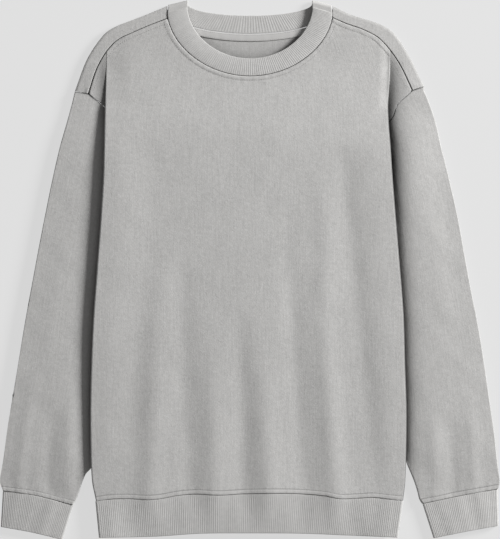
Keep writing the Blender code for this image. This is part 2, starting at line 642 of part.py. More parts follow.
def build():
    """Make every piece of the sweatshirt in its own collection."""
    for piece in list(bpy.data.objects):
        bpy.data.objects.remove(piece)
    garment = bpy.data.collections.new("crewneck_sweatshirt")
    bpy.context.scene.collection.children.link(garment)

    def add(name, points, faces, kind):
        add_piece(name, points, faces, material(name, COLOURS[kind], 0.95), garment)

    front = panel_grid("front")
    add("front", *wall(front.reshape(-1, 3), grid_faces(*front.shape[:2]), CLOTH), "fleece")

    back = panel_grid("back")
    points, faces = back.reshape(-1, 3), grid_faces(*back.shape[:2])
    for side in (-1, 1):
        border, rows = wrap_over_shoulder(back, side)
        strip = strip_faces(border, len(points), len(rows))
        faces = np.concatenate([faces, strip if side < 0 else strip[:, ::-1]])
        points = np.concatenate([points, rows.reshape(-1, 3)])
    add("back", *wall(points, faces, CLOTH), "fleece")

    for name, side in SIDES.items():
        rings = sleeve(side, name)
        faces = grid_faces(*rings.shape[:2], closed=True)
        add("sleeve_" + name, *wall(rings.reshape(-1, 3), faces, CLOTH), "fleece")
        rings, height = cuff(side, name)
        faces = grid_faces(*rings.shape[:2], closed=True)
        sheet, height = rings.reshape(-1, 3), height.ravel()
        outward = {"inner": height} if side < 0 else {"outer": height}
        add("cuff_" + name, *wall(sheet, faces, RIB_CLOTH, **outward), "rib")

    rings, height = waistband()
    faces = grid_faces(*rings.shape[:2], closed=True)
    add("waistband", *wall(rings.reshape(-1, 3), faces, RIB_CLOTH, inner=height.ravel()), "rib")

    rings, outer, inner = collar()
    faces = grid_faces(*rings.shape[:2], closed=True)
    add("neck_rib", *wall(rings.reshape(-1, 3), faces, RIB_CLOTH, inner.ravel(), outer.ravel()), "rib")

    tape = neck_tape(FLOOR_LEVEL + CLOTH / 2 + SEAM_GAP + TAPE / 2)
    add("neck_tape", *wall(tape.reshape(-1, 3), grid_faces(*tape.shape[:2]), TAPE), "tape")


build()
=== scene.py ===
"""Crewneck sweatshirt lying flat on a pale table, face up, its sides and sleeves tucked in.

Every cloth piece is a thin closed wall: a grid of middle points worked out from the garment's
outlines and heights, with an outer and an inner face moved out from it. Lengths are in
millimetres until a mesh is made. X runs to the right, Y to the collar, Z up.
"""

import bpy
import numpy as np
from mathutils.bvhtree import BVHTree
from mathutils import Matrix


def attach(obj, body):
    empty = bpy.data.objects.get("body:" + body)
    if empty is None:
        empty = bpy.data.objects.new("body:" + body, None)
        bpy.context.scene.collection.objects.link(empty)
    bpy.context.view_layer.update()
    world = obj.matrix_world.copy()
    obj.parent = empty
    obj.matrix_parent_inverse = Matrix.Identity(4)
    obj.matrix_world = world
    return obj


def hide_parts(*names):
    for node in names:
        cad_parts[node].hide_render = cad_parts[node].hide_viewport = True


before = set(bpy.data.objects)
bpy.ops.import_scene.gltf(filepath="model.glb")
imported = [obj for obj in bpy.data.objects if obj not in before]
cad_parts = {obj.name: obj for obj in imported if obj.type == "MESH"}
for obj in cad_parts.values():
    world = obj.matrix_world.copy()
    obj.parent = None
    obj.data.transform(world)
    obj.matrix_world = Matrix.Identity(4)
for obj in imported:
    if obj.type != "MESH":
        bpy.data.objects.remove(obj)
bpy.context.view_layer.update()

# ---- driving sizes, millimetres ----
CLOTH = 2.2                 # fleece wall
RIB_HEIGHT = 0.2            # a rib above its wall
TAPE = 0.9                  # neck tape wall
SEAM_GAP = 0.3
HALF_GAP = 0.16             # each side of the hem seam and the cuff seams
NECK_GAP = 0.8
FLOOR_LEVEL = CLOTH / 2     # middle of the cloth that lies on the surface
PITCH = CLOTH + 0.4         # one layer above the next
SLACK = 3.2                 # most extra height between two layers
EDGE_TURN = 2.95            # radius of the fold along the shoulders
FOLD_TURN = 1.4             # radius of the front's fold along each side, up and down
FOLD_SHARPNESS = 0.5        # its radius across, as a share of that
STAND_OFF = 3.2             # radius of the hidden turn behind it, which holds the fold up
SHOULDER_TURN = 1.5         # the same near the shoulders, where fewer layers lie in it
TUCK_TURN = 1.4             # radius of the back's hidden folds
CUFF_TURN = 3.1             # half the level of a cuff's upper layer over its lower one
FOLD_PINCH = 0.6            # share of its thickness that the cloth loses in a pressed fold
EDGE_PINCH = 0.85           # the same along the garment's outer edges
BACK_SETBACK = 14.0         # the back's fold lies this far inside the front's
CHEST_LEVEL = 16.5
NECK_LEVEL = 8.2
COLLAR_LEVEL = 7.9
SLEEVE_LENGTH, CUFF_HEIGHT, WAIST_HEIGHT, COLLAR_HEIGHT = 540.0, 50.0, 51.0, 26.0
HEM_STITCH, NECK_STITCH, SHOULDER_STITCH = 6.0, 5.2, 5.6    # from the seam to its stitch row
CENTRE_SHIFT = np.array([0.7, 0.3, 0.0])

# ---- outlines: y, distance from the middle line on the left, on the right ----
BODY_FOLD = np.array([
    (-356, 198.1, 193.8), (-303, 202.4, 200.9), (-280, 207.0, 203.6), (-262, 208.3, 204.4),
    (-235, 209.0, 204.9), (-185, 209.4, 205.2), (-122, 208.0, 203.2), (-59, 205.0, 201.3),
    (5, 200.3, 196.4), (68, 195.6, 191.1), (131, 191.9, 186.2), (160, 191.3, 184.4),
    (195, 190.7, 181.8), (217, 190.2, 181.2), (237, 189.6, 182.4), (256, 189.0, 183.4),
    (320, 188.5, 184.0)])
SLEEVE_OUTLINE = np.array([
    (-309, 325.4, 326.4), (-290, 325.6, 326.6), (-280, 329.2, 329.2), (-264, 327.2, 327.2),
    (-248, 324.6, 325.2), (-217, 320.5, 322.0), (-169, 312.8, 315.0), (-122, 304.9, 308.4),
    (-74, 297.1, 300.5), (-27, 288.6, 291.3), (20, 279.9, 282.7), (68, 270.6, 274.1),
    (115, 261.0, 263.6), (163, 250.0, 251.7), (197, 240.3, 243.8), (235, 230.2, 230.6)])
SLEEVE_INSIDE = np.array([
    (-309, 232.8, 227.8), (-304, 230.0, 224.4), (-294, 226.0, 221.5), (-285, 223.3, 218.9),
    (-275, 219.8, 215.3), (-267, 215.5, 212.0), (-262, 210.5, 209.8),
    (-235, 201.0, 200.0), (-150, 183.0, 180.0), (-60, 168.0, 165.0), (20, 158.0, 154.0)])
ARMHOLE = np.array([
    (176, 150.0, 150.0), (192, 168.0, 182.7), (201, 178.0, 189.4), (208, 185.5, 191.3),
    (214.5, 191.8, 192.6), (219.7, 197.2, 195.4), (226.3, 206.8, 203.2), (231, 212.3, 208.6),
    (235.5, 214.0, 213.0)])
SIDE_TUCK = np.array([
    (-356, 32.0, 32.0), (-301, 36.0, 36.0), (-200, 42.0, 42.0), (-100, 46.0, 46.0),
    (28, 50.0, 50.0), (100, 47.0, 47.0), (150, 41.0, 41.0), (195, 29.5, 29.5),
    (215, 16.0, 16.0), (226, 8.5, 8.5), (236, 4.0, 4.0), (256, 2.6, 2.6), (275, 2.2, 2.2)])
# ---- y and distance on the left, y and distance on the right ----
SHOULDER_FOLD = np.array([
    (235.0, 230.2, 241.5, 228.6), (281.4, 211.8, 285.0, 207.0), (301.4, 198.4, 300.0, 198.0),
    (312.4, 188.5, 311.7, 188.5), (319.6, 176.6, 320.9, 175.2), (327.5, 156.3, 328.3, 155.0),
    (336.7, 132.7, 335.8, 131.4), (346.8, 108.5, 346.8, 108.5)])
SHOULDER_SEAM = np.array([
    (231.6, 212.6, 236.1, 213.3), (267.8, 200.0, 272.8, 195.1), (289.7, 186.5, 291.3, 181.9),
    (301.4, 174.8, 305.1, 168.4), (310.7, 156.3, 314.3, 151.6), (320.9, 132.7, 324.1, 124.7),
    (330.0, 109.0, 331.0, 109.0)])
NECK = {   # half width, y of the sides, drop to the middle, roundness
    "front seam": (108.4, 337.0, 82.0, 1.15), "front edge": (82.3, 345.0, 67.2, 1.1),
    "back seam": (107.5, 343.9, 33.1, 1.0), "back edge": (81.8, 350.2, 15.8, 1.0)}
HEM_SEAM = np.array([   # x, y
    (-202.9, -304.8), (-193, -303.1), (-162.7, -301.5), (-129.8, -302.7), (-117.9, -301.5),
    (-94.2, -297.3), (-71.8, -295.6), (-41.5, -296.9), (-5.9, -295.2), (71.9, -295.6),
    (100.9, -298.2), (116.7, -301.4), (139.1, -301.1), (161.5, -299.9), (183.9, -302.2),
    (201, -303.9)])
HEM_BOTTOM = np.array([
    (-197.7, -352.8), (-117.9, -351), (-71.8, -347.8), (0.7, -347), (78.5, -347.7),
    (123.3, -349.6), (194.8, -352.5)])
CUFF_SEAM = {"left": ((-325.4, -291.3), (-287, -296.7), (-233.3, -310.0)),
             "right": ((326.0, -289.0), (287, -296.0), (227.5, -308.0))}
CUFF_BOTTOM = {"left": ((-328.2, -339.0), (-287, -346.2), (-247.6, -355.4)),
               "right": ((327.2, -337.5), (285, -345.0), (242.0, -353.5))}
NECK_RIBS = (116, 84)       # front half, back half
HEM_RIBS = 160
CUFF_RIBS = 39
RIB_STEPS = 6               # points across one rib

# ---- folds of the front: x and y of the top, x at the hem, height, width ----
BODY_FOLDS = [
    (-118, 70, -131, 1.8, 17), (-52, -40, -46, 1.5, 15), (14, -60, 25, 2.0, 17),
    (88, 60, 112, 2.1, 16)]
# ---- finer creases: x and y at each end, height (a trough is negative), width, bow ----
CREASES = [
    (-88, 30, -79, -294, -1.0, 14, -3), (-16, -60, -9, -294, -1.2, 13, 2),
    (50, 60, 72, -294, -1.2, 15, -4), (118, 190, 172, -294, -0.9, 13, 0),
    (92, 130, 100, -40, 0.9, 14, 3), (40, 0, 52, -200, 0.25, 9, 2)]

SIDES = {"left": -1, "right": 1}


# ---------------------------------------------------------------- curves

def smooth(start, end, value):
    """Soft step t*t*(3-2t): 0 at start, 1 at end."""
    t = np.clip((np.asarray(value, float) - start) / (end - start), 0, 1)
    return t * t * (3 - 2 * t)


def hermite(t, step, before, after, slope_before, slope_after):
    """Cubic Hermite curve between two values with the given slopes, at a share t of the step."""
    return ((2 * t**3 - 3 * t**2 + 1) * before + (t**3 - 2 * t**2 + t) * step * slope_before
            + (3 * t**2 - 2 * t**3) * after + (t**3 - t**2) * step * slope_after)


def across(table, side, y):
    """Distance from the middle line at y: a cubic Hermite curve through a table's rows."""
    rows = table[np.argsort(table[:, 0])]
    at, value = rows[:, 0], rows[:, 1 if side < 0 else 2]
    slope = np.gradient(value, at)
    y = np.clip(np.asarray(y, float), at[0], at[-1])
    i = np.clip(np.searchsorted(at, y) - 1, 0, len(at) - 2)
    step = at[i + 1] - at[i]
    return hermite((y - at[i]) / step, step, value[i], value[i + 1], slope[i], slope[i + 1])


def run_length(points, axis=0):
    """Length run so far along one axis of an array of points."""
    step = np.linalg.norm(np.diff(points, axis=axis), axis=-1)
    run = np.cumsum(step, axis=axis)
    return np.concatenate([np.zeros_like(run.take([0], axis)), run], axis=axis)


def rounded(points, steps=240):
    """A smooth line through points: cubic Hermite in the length run so far."""
    points = np.asarray(points, float)
    length = run_length(points)
    slope = np.gradient(points, length, axis=0)
    s = np.linspace(0, length[-1], steps)
    i = np.clip(np.searchsorted(length, s) - 1, 0, len(length) - 2)
    step = (length[i + 1] - length[i])[:, None]
    t = (s - length[i])[:, None] / step
    return hermite(t, step, points[i], points[i + 1], slope[i], slope[i + 1])


def along(points, fraction):
    """Points at fractions of a polyline's length."""
    points = np.asarray(points, float)
    length = run_length(points)
    at = np.asarray(fraction, float) * length[-1]
    return np.stack([np.interp(at, length, points[:, k]) for k in range(points.shape[1])], axis=-1)


def squared(wave, power):
    """A sine or cosine drawn towards a square wave: its sign times its size to a low power."""
    return np.sign(wave) * np.abs(wave) ** power


def shoulder_line(table, side):
    """One side's shoulder line as a smooth run of (distance, y), from the sleeve to the neck."""
    first = 0 if side < 0 else 2
    return rounded(table[:, [first + 1, first]])


FOLD_LINE = {side: shoulder_line(SHOULDER_FOLD, side) for side in (-1, 1)}
SEAM_LINE = {side: shoulder_line(SHOULDER_SEAM, side) for side in (-1, 1)}


def inset_fold(side, count=241):
    """The shoulder fold moved in by its radius, with the inward directions at its points."""
    share = np.linspace(0, 1, count)
    outer = along(FOLD_LINE[side], share)
    inward = along(SEAM_LINE[side], share) - outer
    inward /= np.linalg.norm(inward, axis=1)[:, None]
    return outer + inward * EDGE_TURN, inward, share


INSET = {side: inset_fold(side) for side in (-1, 1)}


def neck_curve(name, angle, grow=0.0):
    """Half of a neck line: x = half width times cos, y falls with sin to the roundness."""
    half, sides, drop, roundness = NECK[name]
    y = sides - (drop + grow) * np.abs(np.sin(angle)) ** roundness
    return np.stack([(half + grow) * np.cos(angle), y], axis=-1)


def neck_line(name, grow=0.0):
    """A whole half neck line as points (x, y), from the right to the left."""
    return neck_curve(name, np.linspace(0, np.pi, 160), grow)


def hem_line(line, x):
    """Y of the hem seam or of the waistband's edge at x, on a smooth line through its points."""
    soft = rounded(line)
    return np.interp(x, soft[:, 0], soft[:, 1])


def cuff_line(table, name, side=1, steps=60):
    """A sleeve's cuff seam or cuff edge as a smooth line: distance and y, or x with its side."""
    return rounded(np.abs(np.array(table[name])) * [side, -1], steps)


def line_distance(x, y, line):
    """Distance of each point (x, y) from a polyline."""
    point = np.stack([np.ravel(x), np.ravel(y)], axis=-1)
    best = np.full(len(point), 1e9)
    for a, b in zip(line[:-1], line[1:]):
        step = b - a
        t = np.clip((point - a) @ step / max(step @ step, 1e-9), 0, 1)
        best = np.minimum(best, np.linalg.norm(point - a - t[:, None] * step, axis=1))
    return best.reshape(np.shape(x))


def waviness(t, seed, waves):
    """Sum of sines of t with uneven phases, about -1 to 1: the unevenness of hand-laid cloth."""
    rng = np.random.default_rng(seed)
    total = 0.0
    for length, share in waves:
        total = total + share * np.sin(2 * np.pi * t / length + rng.uniform(0, 6.28))
    return total


# ---------------------------------------------------------------- heights

def fold_closing(panel, y):
    """How far a panel's side fold has closed at y: the angle of its turns, up to a half turn."""
    if panel == "front":
        return np.full(np.shape(y), np.pi)
    grown = smooth(232, 140, y)
    return np.maximum(np.pi * (0.42 * grown + 0.58 * smooth(0.9, 1.0, grown)), 1e-3)


def fold_growth(y):
    """Share of its full height that the front's side fold has at y: grows down from a shoulder."""
    return np.clip((287 - np.asarray(y, float)) / 76, 0.08, 1) ** 1.6


def stand_off(side, y):
    """Radius of the hidden turn behind the front's side fold at y."""
    first = SHOULDER_TURN + (0.95 if side > 0 else 0.0)
    return first + (STAND_OFF - first) * smooth(232, 120, y)


def back_stretch(y):
    """Length of the back's hidden return at y: none until its fold has closed."""
    full = across(SIDE_TUCK, 1, y) - BACK_SETBACK - 2 * TUCK_TURN
    closed = smooth(0.985, 1.0, fold_closing("back", y) / np.pi)
    return 0.4 + np.maximum(full - 0.4, 0) * closed


def fold_path(at, angle, flat, seam, turns, sharp=1.0):
    """Middle line of a side fold: a turn of `angle`, a straight stretch and a turn back.

    `at` runs 0 to 3 along them. The first turn is squeezed across to `sharp` and squared off
    with the root of the sine. Gives the distance outward and the fall.
    """
    first, second = (np.pi * radius / angle for radius in turns)
    square = 1 - 0.5 * (np.asarray(sharp) < 1) * smooth(0.6, 1.0, angle / np.pi)
    a, b, c = (np.clip(at - k, 0, 1) for k in range(3))
    back = angle - angle * (1 - seam / 2) * c
    out = first * sharp * np.abs(np.sin(angle * a)) ** square + b * flat * np.cos(angle)
    out = out + second * (np.sin(angle) - np.sin(back))
    fall = first * (1 - np.cos(angle * a)) + b * flat * np.sin(angle)
    fall = fall + second * (np.cos(back) - np.cos(angle))
    return out, fall


def lift(y):
    """Height of the back's hidden layers under the sleeve at y."""
    return 4 * TUCK_TURN * smooth(232, 140, y)


def back_turn(y):
    """Radius that gives the back's side fold its height at y, however far it has closed."""
    closing = fold_closing("back", y)
    return np.maximum(lift(y) * closing / np.pi / (2 * (1 - np.cos(closing))), 0.05)


def rounded_rise(out, near, far):
    """Rise from 0 to 1 beside a fold: half of it within a few `near`, the rest over `far`."""
    out = np.maximum(out, 0)
    return 1 - 0.5 * np.exp(-out / near) - 0.5 * np.exp(-out / far)


def layers(side, distance, y):
    """Levels (lower, upper) of the two layers beside the body's fold: armhole, sleeve."""
    out = distance - across(BODY_FOLD, side, y)
    near_hem = smooth(-262, -285, y)
    raised = lift(y) * smooth(0, -BACK_SETBACK, out) * (1 - near_hem)
    rise = rounded_rise(out, 3.0, 10.0)
    filled = 0.7 * smooth(140, 220, y) if side < 0 else 0.55 * smooth(205, 255, y)
    rise = filled + (1 - filled) * (rise + (1 - rise) * smooth(262, 285, y))
    slack = 0.2 + SLACK * rise * (1 + 0.3 * smooth(275, 240, y))
    cuff_end = smooth(-255, -300, y)
    slack = np.maximum(slack * (1 - cuff_end) + 4.0 * cuff_end, 1.4 * near_hem)
    lower = FLOOR_LEVEL + raised
    return lower, lower + PITCH + slack


def return_level(y):
    """Level of the front's hidden return along the side seam, low where no sleeve lies in it."""
    sleeve = smooth(-292, -215, y)
    low = 3.0 * smooth(-60, -240, y)
    return FLOOR_LEVEL + 3.9 + 2 * STAND_OFF + sleeve * (2 * PITCH - 0.7) - low * sleeve


def seam_level(y):
    """Level at which front and back meet in the side seam."""
    return (return_level(y) + FLOOR_LEVEL + 2 * TUCK_TURN) / 2


def crease_height(x, y):
    """Sum of soft creases: each is a bell across a bowed line, fading at both its ends."""
    total = np.zeros(np.shape(x))
    for x0, y0, x1, y1, height, width, bow in CREASES:
        t = (y0 - y) / (y0 - y1)
        middle = x0 + (x1 - x0) * t + bow * np.sin(np.pi * np.clip(t, 0, 1))
        fade = smooth(-0.12, 0.35, t) * smooth(1.15, 0.95, t)
        total = total + height * fade * np.exp(-((x - middle) / width) ** 2)
    return total


def front_level(x, y, edges):
    """Level of the front: high over the tucked sides, low in the middle, with its soft folds."""
    level = CHEST_LEVEL + (NECK_LEVEL - CHEST_LEVEL) * smooth(160, 285, y)
    level = level - 3.0 * smooth(-60, -240, y) - 2.5 * smooth(-292, -352, y)
    for top_x, top_y, hem_x, height, width in BODY_FOLDS:
        down = np.clip((top_y - y) / (top_y + 296), 0, 1.2)
        middle = top_x + (hem_x - top_x) * down
        grow = smooth(0, 0.75, down) * smooth(-352, -296, y)
        level = level + height * grow * np.exp(-((x - middle) / width) ** 2)
    level = level + crease_height(x, y)
    for side, edge in edges:
        inward = across(BODY_FOLD, side, y) - side * x
        tuck = np.maximum(across(SIDE_TUCK, side, y), 8)
        short = smooth(180, 215, y) * (side > 0)
        reach = (tuck + 26) * (1 - short) + 14 * short
        level = level + (edge - level) * smooth(reach, 0.35 * tuck * (1 - short), inward)
    return level


# ---------------------------------------------------------------- the folded sides

def armhole_top(side):
    """Y at which the armhole meets the shoulder seam."""
    return SEAM_LINE[side][0, 1] - 0.6


def panel_boundary(panel, side, y, corner):
    """Distance of a panel's side edge at y: armhole seam, then the shoulder line above it."""
    armhole = np.interp(y, ARMHOLE[:, 0], ARMHOLE[:, 1 if side < 0 else 2])
    armhole = np.maximum(armhole, corner + 1.8)
    if panel == "front":
        line = SEAM_LINE[side]
        seam = np.interp(y, line[:, 1], line[:, 0]) - SEAM_GAP
        return np.where(y > armhole_top(side), seam, armhole)
    inset = INSET[side][0]
    above = np.interp(y, inset[:, 1], inset[:, 0])
    corner_y = armhole_top(side)
    start = np.interp(corner_y, ARMHOLE[:, 0], ARMHOLE[:, 1 if side < 0 else 2])
    between = np.interp(y, [corner_y, inset[0, 1]], [start, inset[0, 0]])
    return np.where(y > inset[0, 1], above, np.where(y > corner_y, between, armhole))


def side_fold(panel, side, y, at):
    """Distance and level of a panel's side at y, and the level where its main part starts.

    `at` runs from 0, where the fold starts, to 4, at the panel's seam.
    """
    y = np.asarray(y, float)
    front = panel == "front"
    angle = fold_closing(panel, y)
    wide = 0.1 * smooth(-200, -290, y)
    turns = (back_turn(y), back_turn(y) + wide)
    if front:
        turns = (FOLD_TURN * fold_growth(y), stand_off(side, y) * fold_growth(y))
    setback = 0 if front else BACK_SETBACK
    tuck = across(SIDE_TUCK, side, y) - setback
    sharp = FOLD_SHARPNESS if front else 1.0
    start = across(BODY_FOLD, side, y) - turns[0] * sharp - setback
    flat = np.maximum(tuck - turns[0] * sharp - turns[1], 0.4) if front else back_stretch(y)
    seam = smooth(22, 8, y)
    out, fall = fold_path(at, angle, flat, seam, turns, sharp)
    end_at = np.full(np.shape(at), 3.0)
    end_out, end_fall = fold_path(end_at, angle, flat, seam, turns, sharp)
    if front:                                       # above the fold its columns lie side by side
        spread = 4 * (1 - smooth(305, 268, y))
        out = out + spread * np.clip(at, 0, 3) / 3
        end_out = end_out + spread
    last = np.clip(at - 3, 0, 1)
    corner = start + end_out
    edge = panel_boundary(panel, side, y, corner)
    reach = (edge - corner) * last * (1 - seam)
    level = layers(side, corner + reach, y)[1 if front else 0]
    corner_level = layers(side, corner, y)[1 if front else 0]
    gap = 0.7 * SEAM_GAP * (1 if front else -1)
    if front:
        whole = 2 * turns[0] + 2 * turns[1]
        top = (corner_level + whole) * (1 - seam) + seam * (return_level(y) + 2 * turns[0])
        arc_end = top - end_fall
        height = top - fall
    else:
        top = np.full(np.shape(y), FLOOR_LEVEL)
        arc_end = top + end_fall
        height = top + fall
    drop = (seam_level(y) + gap - arc_end) * last * seam
    settle = (corner_level - arc_end) * last * (1 - seam)
    height = height + (level - corner_level) * (1 - seam) * (last > 0) + drop + settle
    return start + out + reach, height, top


# ---------------------------------------------------------------- panel grids

YOKE_Y = 195.0
SIDE_AT = np.concatenate([[4, 3.97, 3.92, 3.84, 3.74, 3.62, 3.5, 3.37, 3.24, 3.12],
                          np.linspace(3, 2, 7), [1.67, 1.33], np.linspace(1, 0, 9)])
NECK_SHARE = 0.52
NECK_ENDS = {"front": 0.13, "back": 0.04}
STEPS = {"front": (34, 84), "back": (20, 44)}       # columns along each shoulder, round the neck
ROW_STEP = {"front": 3.3, "back": 6.0}
EDGE_ROWS = np.array([0, 0.1, 0.35, 0.8, 1.6, 3.0, 4.2, 5.0, 5.6, 6.2, 6.8, 7.6, 9.0])


def shoulder_edge(panel, side):
    """The line where a panel's main part ends along the shoulder, as (distance, y) points."""
    if panel == "front":
        return SEAM_LINE[side] - [SEAM_GAP, 0]
    return INSET[side][0]


def height_of(line, distance):
    """Y at which a shoulder line, which nears the middle as it rises, is at a distance."""
    return np.interp(distance, line[::-1, 0], line[::-1, 1])


def shoulder_shares(panel):
    """Shares of a panel's shoulder at which its columns stand: close together at the fold."""
    return np.concatenate([[0, 0.003, 0.012, 0.03], np.linspace(0.06, 1, STEPS[panel][0] - 3)])


def side_tops(panel, side):
    """Y at which each column of a side fold meets the shoulder line."""
    line = shoulder_edge(panel, side)
    widen = 2.5 * (SIDE_AT - 3).clip(0)
    at = np.minimum(SIDE_AT, 3)
    y = height_of(line, side_fold(panel, side, 300.0, SIDE_AT * 0.75)[0])
    for _ in range(12):
        y = 0.5 * (y + height_of(line, side_fold(panel, side, y, at)[0] + widen))
    return y


def main_tops(panel, tops):
    """Top ends (x, y) of a panel's main columns, from the left side to the right."""
    neck = STEPS[panel][1]
    ends = []
    for side in (-1, 1):
        line = shoulder_edge(panel, side)
        first = tops[side][-1]
        y = first + (line[-1, 1] - 0.2 - first) * shoulder_shares(panel)
        ends.append(np.stack([side * np.interp(y, line[:, 1], line[:, 0]), y], axis=-1))
    angles = np.linspace(np.pi - NECK_ENDS[panel], NECK_ENDS[panel], neck + 1)
    curve = neck_curve(panel + " seam", angles, NECK_GAP)
    return np.concatenate([ends[0], curve[1:-1], ends[1][::-1]])


def panel_row(panel, side_y, main_x, main_y):
    """One row of a panel's middle points, from its left seam to its right seam."""
    left_x, left_z, _ = side_fold(panel, -1, side_y[-1], SIDE_AT)
    right_x, right_z, _ = side_fold(panel, 1, side_y[1], SIDE_AT)
    level = np.full(len(main_x), FLOOR_LEVEL)
    if panel == "front":
        edges = [(side, side_fold(panel, side, main_y, 0.0)[2]) for side in (-1, 1)]
        level = front_level(main_x, main_y, edges)
    x = np.concatenate([-left_x, main_x[1:-1], right_x[::-1]])
    y = np.concatenate([side_y[-1], main_y[1:-1], side_y[1][::-1]])
    z = np.concatenate([left_z, level[1:-1], right_z[::-1]])
    return np.stack([x, y, z], axis=-1)


def panel_grid(panel):
    """Middle points of a panel, a row at a time from the hem to the shoulders and neck."""
    neck = STEPS[panel][1]
    outer = 1 - (1 - NECK_SHARE) * shoulder_shares(panel)[:-1]
    steps = np.concatenate([-outer, np.linspace(-NECK_SHARE, NECK_SHARE, neck + 1), outer[::-1]])

    def main_line(y):
        left, right = (side_fold(panel, side, y, 0.0)[0] for side in (-1, 1))
        return np.where(steps < 0, steps * left, steps * right)

    rows = []
    hem_x = main_line(-300.0)
    hem_side = {}
    for side in (-1, 1):
        hem_fold = side * side_fold(panel, side, -300.0, SIDE_AT)[0]
        hem_side[side] = hem_line(HEM_SEAM, hem_fold) + HALF_GAP
    hem_main = hem_line(HEM_SEAM, hem_x) + HALF_GAP
    for up in EDGE_ROWS:
        level = {s: hem_side[s] + up for s in (-1, 1)}
        rows.append(panel_row(panel, level, main_line(hem_main + up), hem_main + up))
    low = -284.0
    count = int((YOKE_Y - low) / ROW_STEP[panel])
    for k, y in enumerate(np.linspace(low, YOKE_Y, count)):
        bend = smooth(12, 0, k) * 0.999                 # rows leave the hem's curve step by step
        main_y = y + (hem_main - hem_main.max()) * bend
        level = {s: y + (hem_side[s] - hem_main.max()) * bend for s in (-1, 1)}
        rows.append(panel_row(panel, level, main_line(main_y), main_y))
    tops = {side: side_tops(panel, side) for side in (-1, 1)}
    ends = main_tops(panel, tops)
    low_x = main_line(YOKE_Y)
    drop = ends[:, 1] - YOKE_Y
    full = np.linspace(0, 1, int(120 / ROW_STEP[panel]))[1:]
    weight = np.clip((np.abs(steps) - NECK_SHARE) / (1 - NECK_SHARE), 0, 1)
    for k in range(len(full) + len(EDGE_ROWS) - 1):
        if k < len(full) - 1:
            main_share = np.minimum(full[k], 1 - EDGE_ROWS[-1] / drop)
            side_share = {s: np.minimum(full[k], 1 - EDGE_ROWS[-1] / (tops[s] - YOKE_Y))
                          for s in (-1, 1)}
        else:
            near = EDGE_ROWS[::-1][k - len(full) + 1]
            main_share = 1 - near / drop
            side_share = {s: 1 - near / (tops[s] - YOKE_Y) for s in (-1, 1)}
        side_y = {s: YOKE_Y + (tops[s] - YOKE_Y) * side_share[s] for s in (-1, 1)}
        main_x = low_x + (ends[:, 0] - low_x) * main_share
        main_y = YOKE_Y + drop * main_share
        for s, end in ((-1, 0), (1, -1)):               # columns near a fold keep to its curve
            start = s * side_fold(panel, s, side_y[s][-1:], 0.0)[0]
            main_x = main_x + weight * (steps * s > 0) * (start - main_x[end])
        rows.append(panel_row(panel, side_y, main_x, main_y))
    return np.array(rows)


def wrap_over_shoulder(grid, side):
    """Rows that carry the back over the shoulder fold to the forward seam, and their border."""
    rows, columns = grid.shape[:2]
    index = np.arange(rows * columns).reshape(rows, columns)
    inset, inward, share = INSET[side]
    count = len(SIDE_AT) + STEPS["back"][0]
    if side < 0:
        border = np.concatenate([index[:-1, 0], index[-1, :count]])
    else:
        border = np.concatenate([index[:-1, -1], index[-1, ::-1][:count]])
    points = grid.reshape(-1, 3)
    border = border[points[border, 1] > inset[0, 1] - 0.5]
    at = np.interp(points[border, 1], inset[:, 1], share)
    at[np.argmin(at)] = 0
    fold = along(FOLD_LINE[side], at)
    seam = along(SEAM_LINE[side], at)
    turn = np.stack([np.interp(at, share, inward[:, k]) for k in range(2)], axis=-1)
    seam = seam - turn * 0.9
    new_rows = []
    for angle in np.linspace(0, np.pi, 13)[1:]:
        flat = fold + turn * EDGE_TURN * (1 - np.abs(np.sin(angle)) ** 0.15)
        rise = 1 - squared(np.cos(angle), 0.3)
        level = np.full(len(at), FLOOR_LEVEL + EDGE_TURN * rise)
        new_rows.append(np.column_stack([side * flat[:, 0], flat[:, 1], level]))
    start = new_rows[-1]
    end_level = layers(side, seam[:, 0], seam[:, 1])[1]
    end = np.column_stack([side * seam[:, 0], seam[:, 1], end_level])
    width = np.linalg.norm(end - start, axis=1)[:, None]
    for step in (0.02, 0.08, 0.2, 0.4, 0.6, 0.8):
        new_rows.append(start + (end - start) * np.minimum(step, 1 - 3.0 / width))
    for near in EDGE_ROWS[5::-1]:
        new_rows.append(start + (end - start) * (1 - near / width))
    return border, np.array(new_rows)


def grid_faces(rows, columns, closed=False):
    """Index quads of a grid, closed on itself across its columns if it is a ring."""
    index = np.arange(rows * columns).reshape(rows, columns)
    right = np.roll(index, -1, axis=1)
    if not closed:
        index, right = index[:, :-1], right[:, :-1]
    return np.stack([index[:-1], right[:-1], right[1:], index[1:]], axis=-1).reshape(-1, 4)


def strip_faces(border, first, rows):
    """Quads of rows that grow from a line of points that are already there."""
    count = len(border)
    index = np.concatenate([border, first + np.arange(rows * count)]).reshape(rows + 1, count)
    return np.stack([index[:-1, :-1], index[:-1, 1:], index[1:, 1:], index[1:, :-1]],
                    axis=-1).reshape(-1, 4)


# ---------------------------------------------------------------- walls and meshes

def point_normals(points, quads):
    """Unit normals of a quad sheet's points, summed from the quads round each."""
    corner = points[quads]
    face = np.cross(corner[:, 2] - corner[:, 0], corner[:, 3] - corner[:, 1])
    total = np.zeros_like(points)
    for k in range(4):
        for axis in range(3):
            total[:, axis] += np.bincount(quads[:, k], face[:, axis], len(points))
    return total / np.maximum(np.linalg.norm(total, axis=1), 1e-9)[:, None]


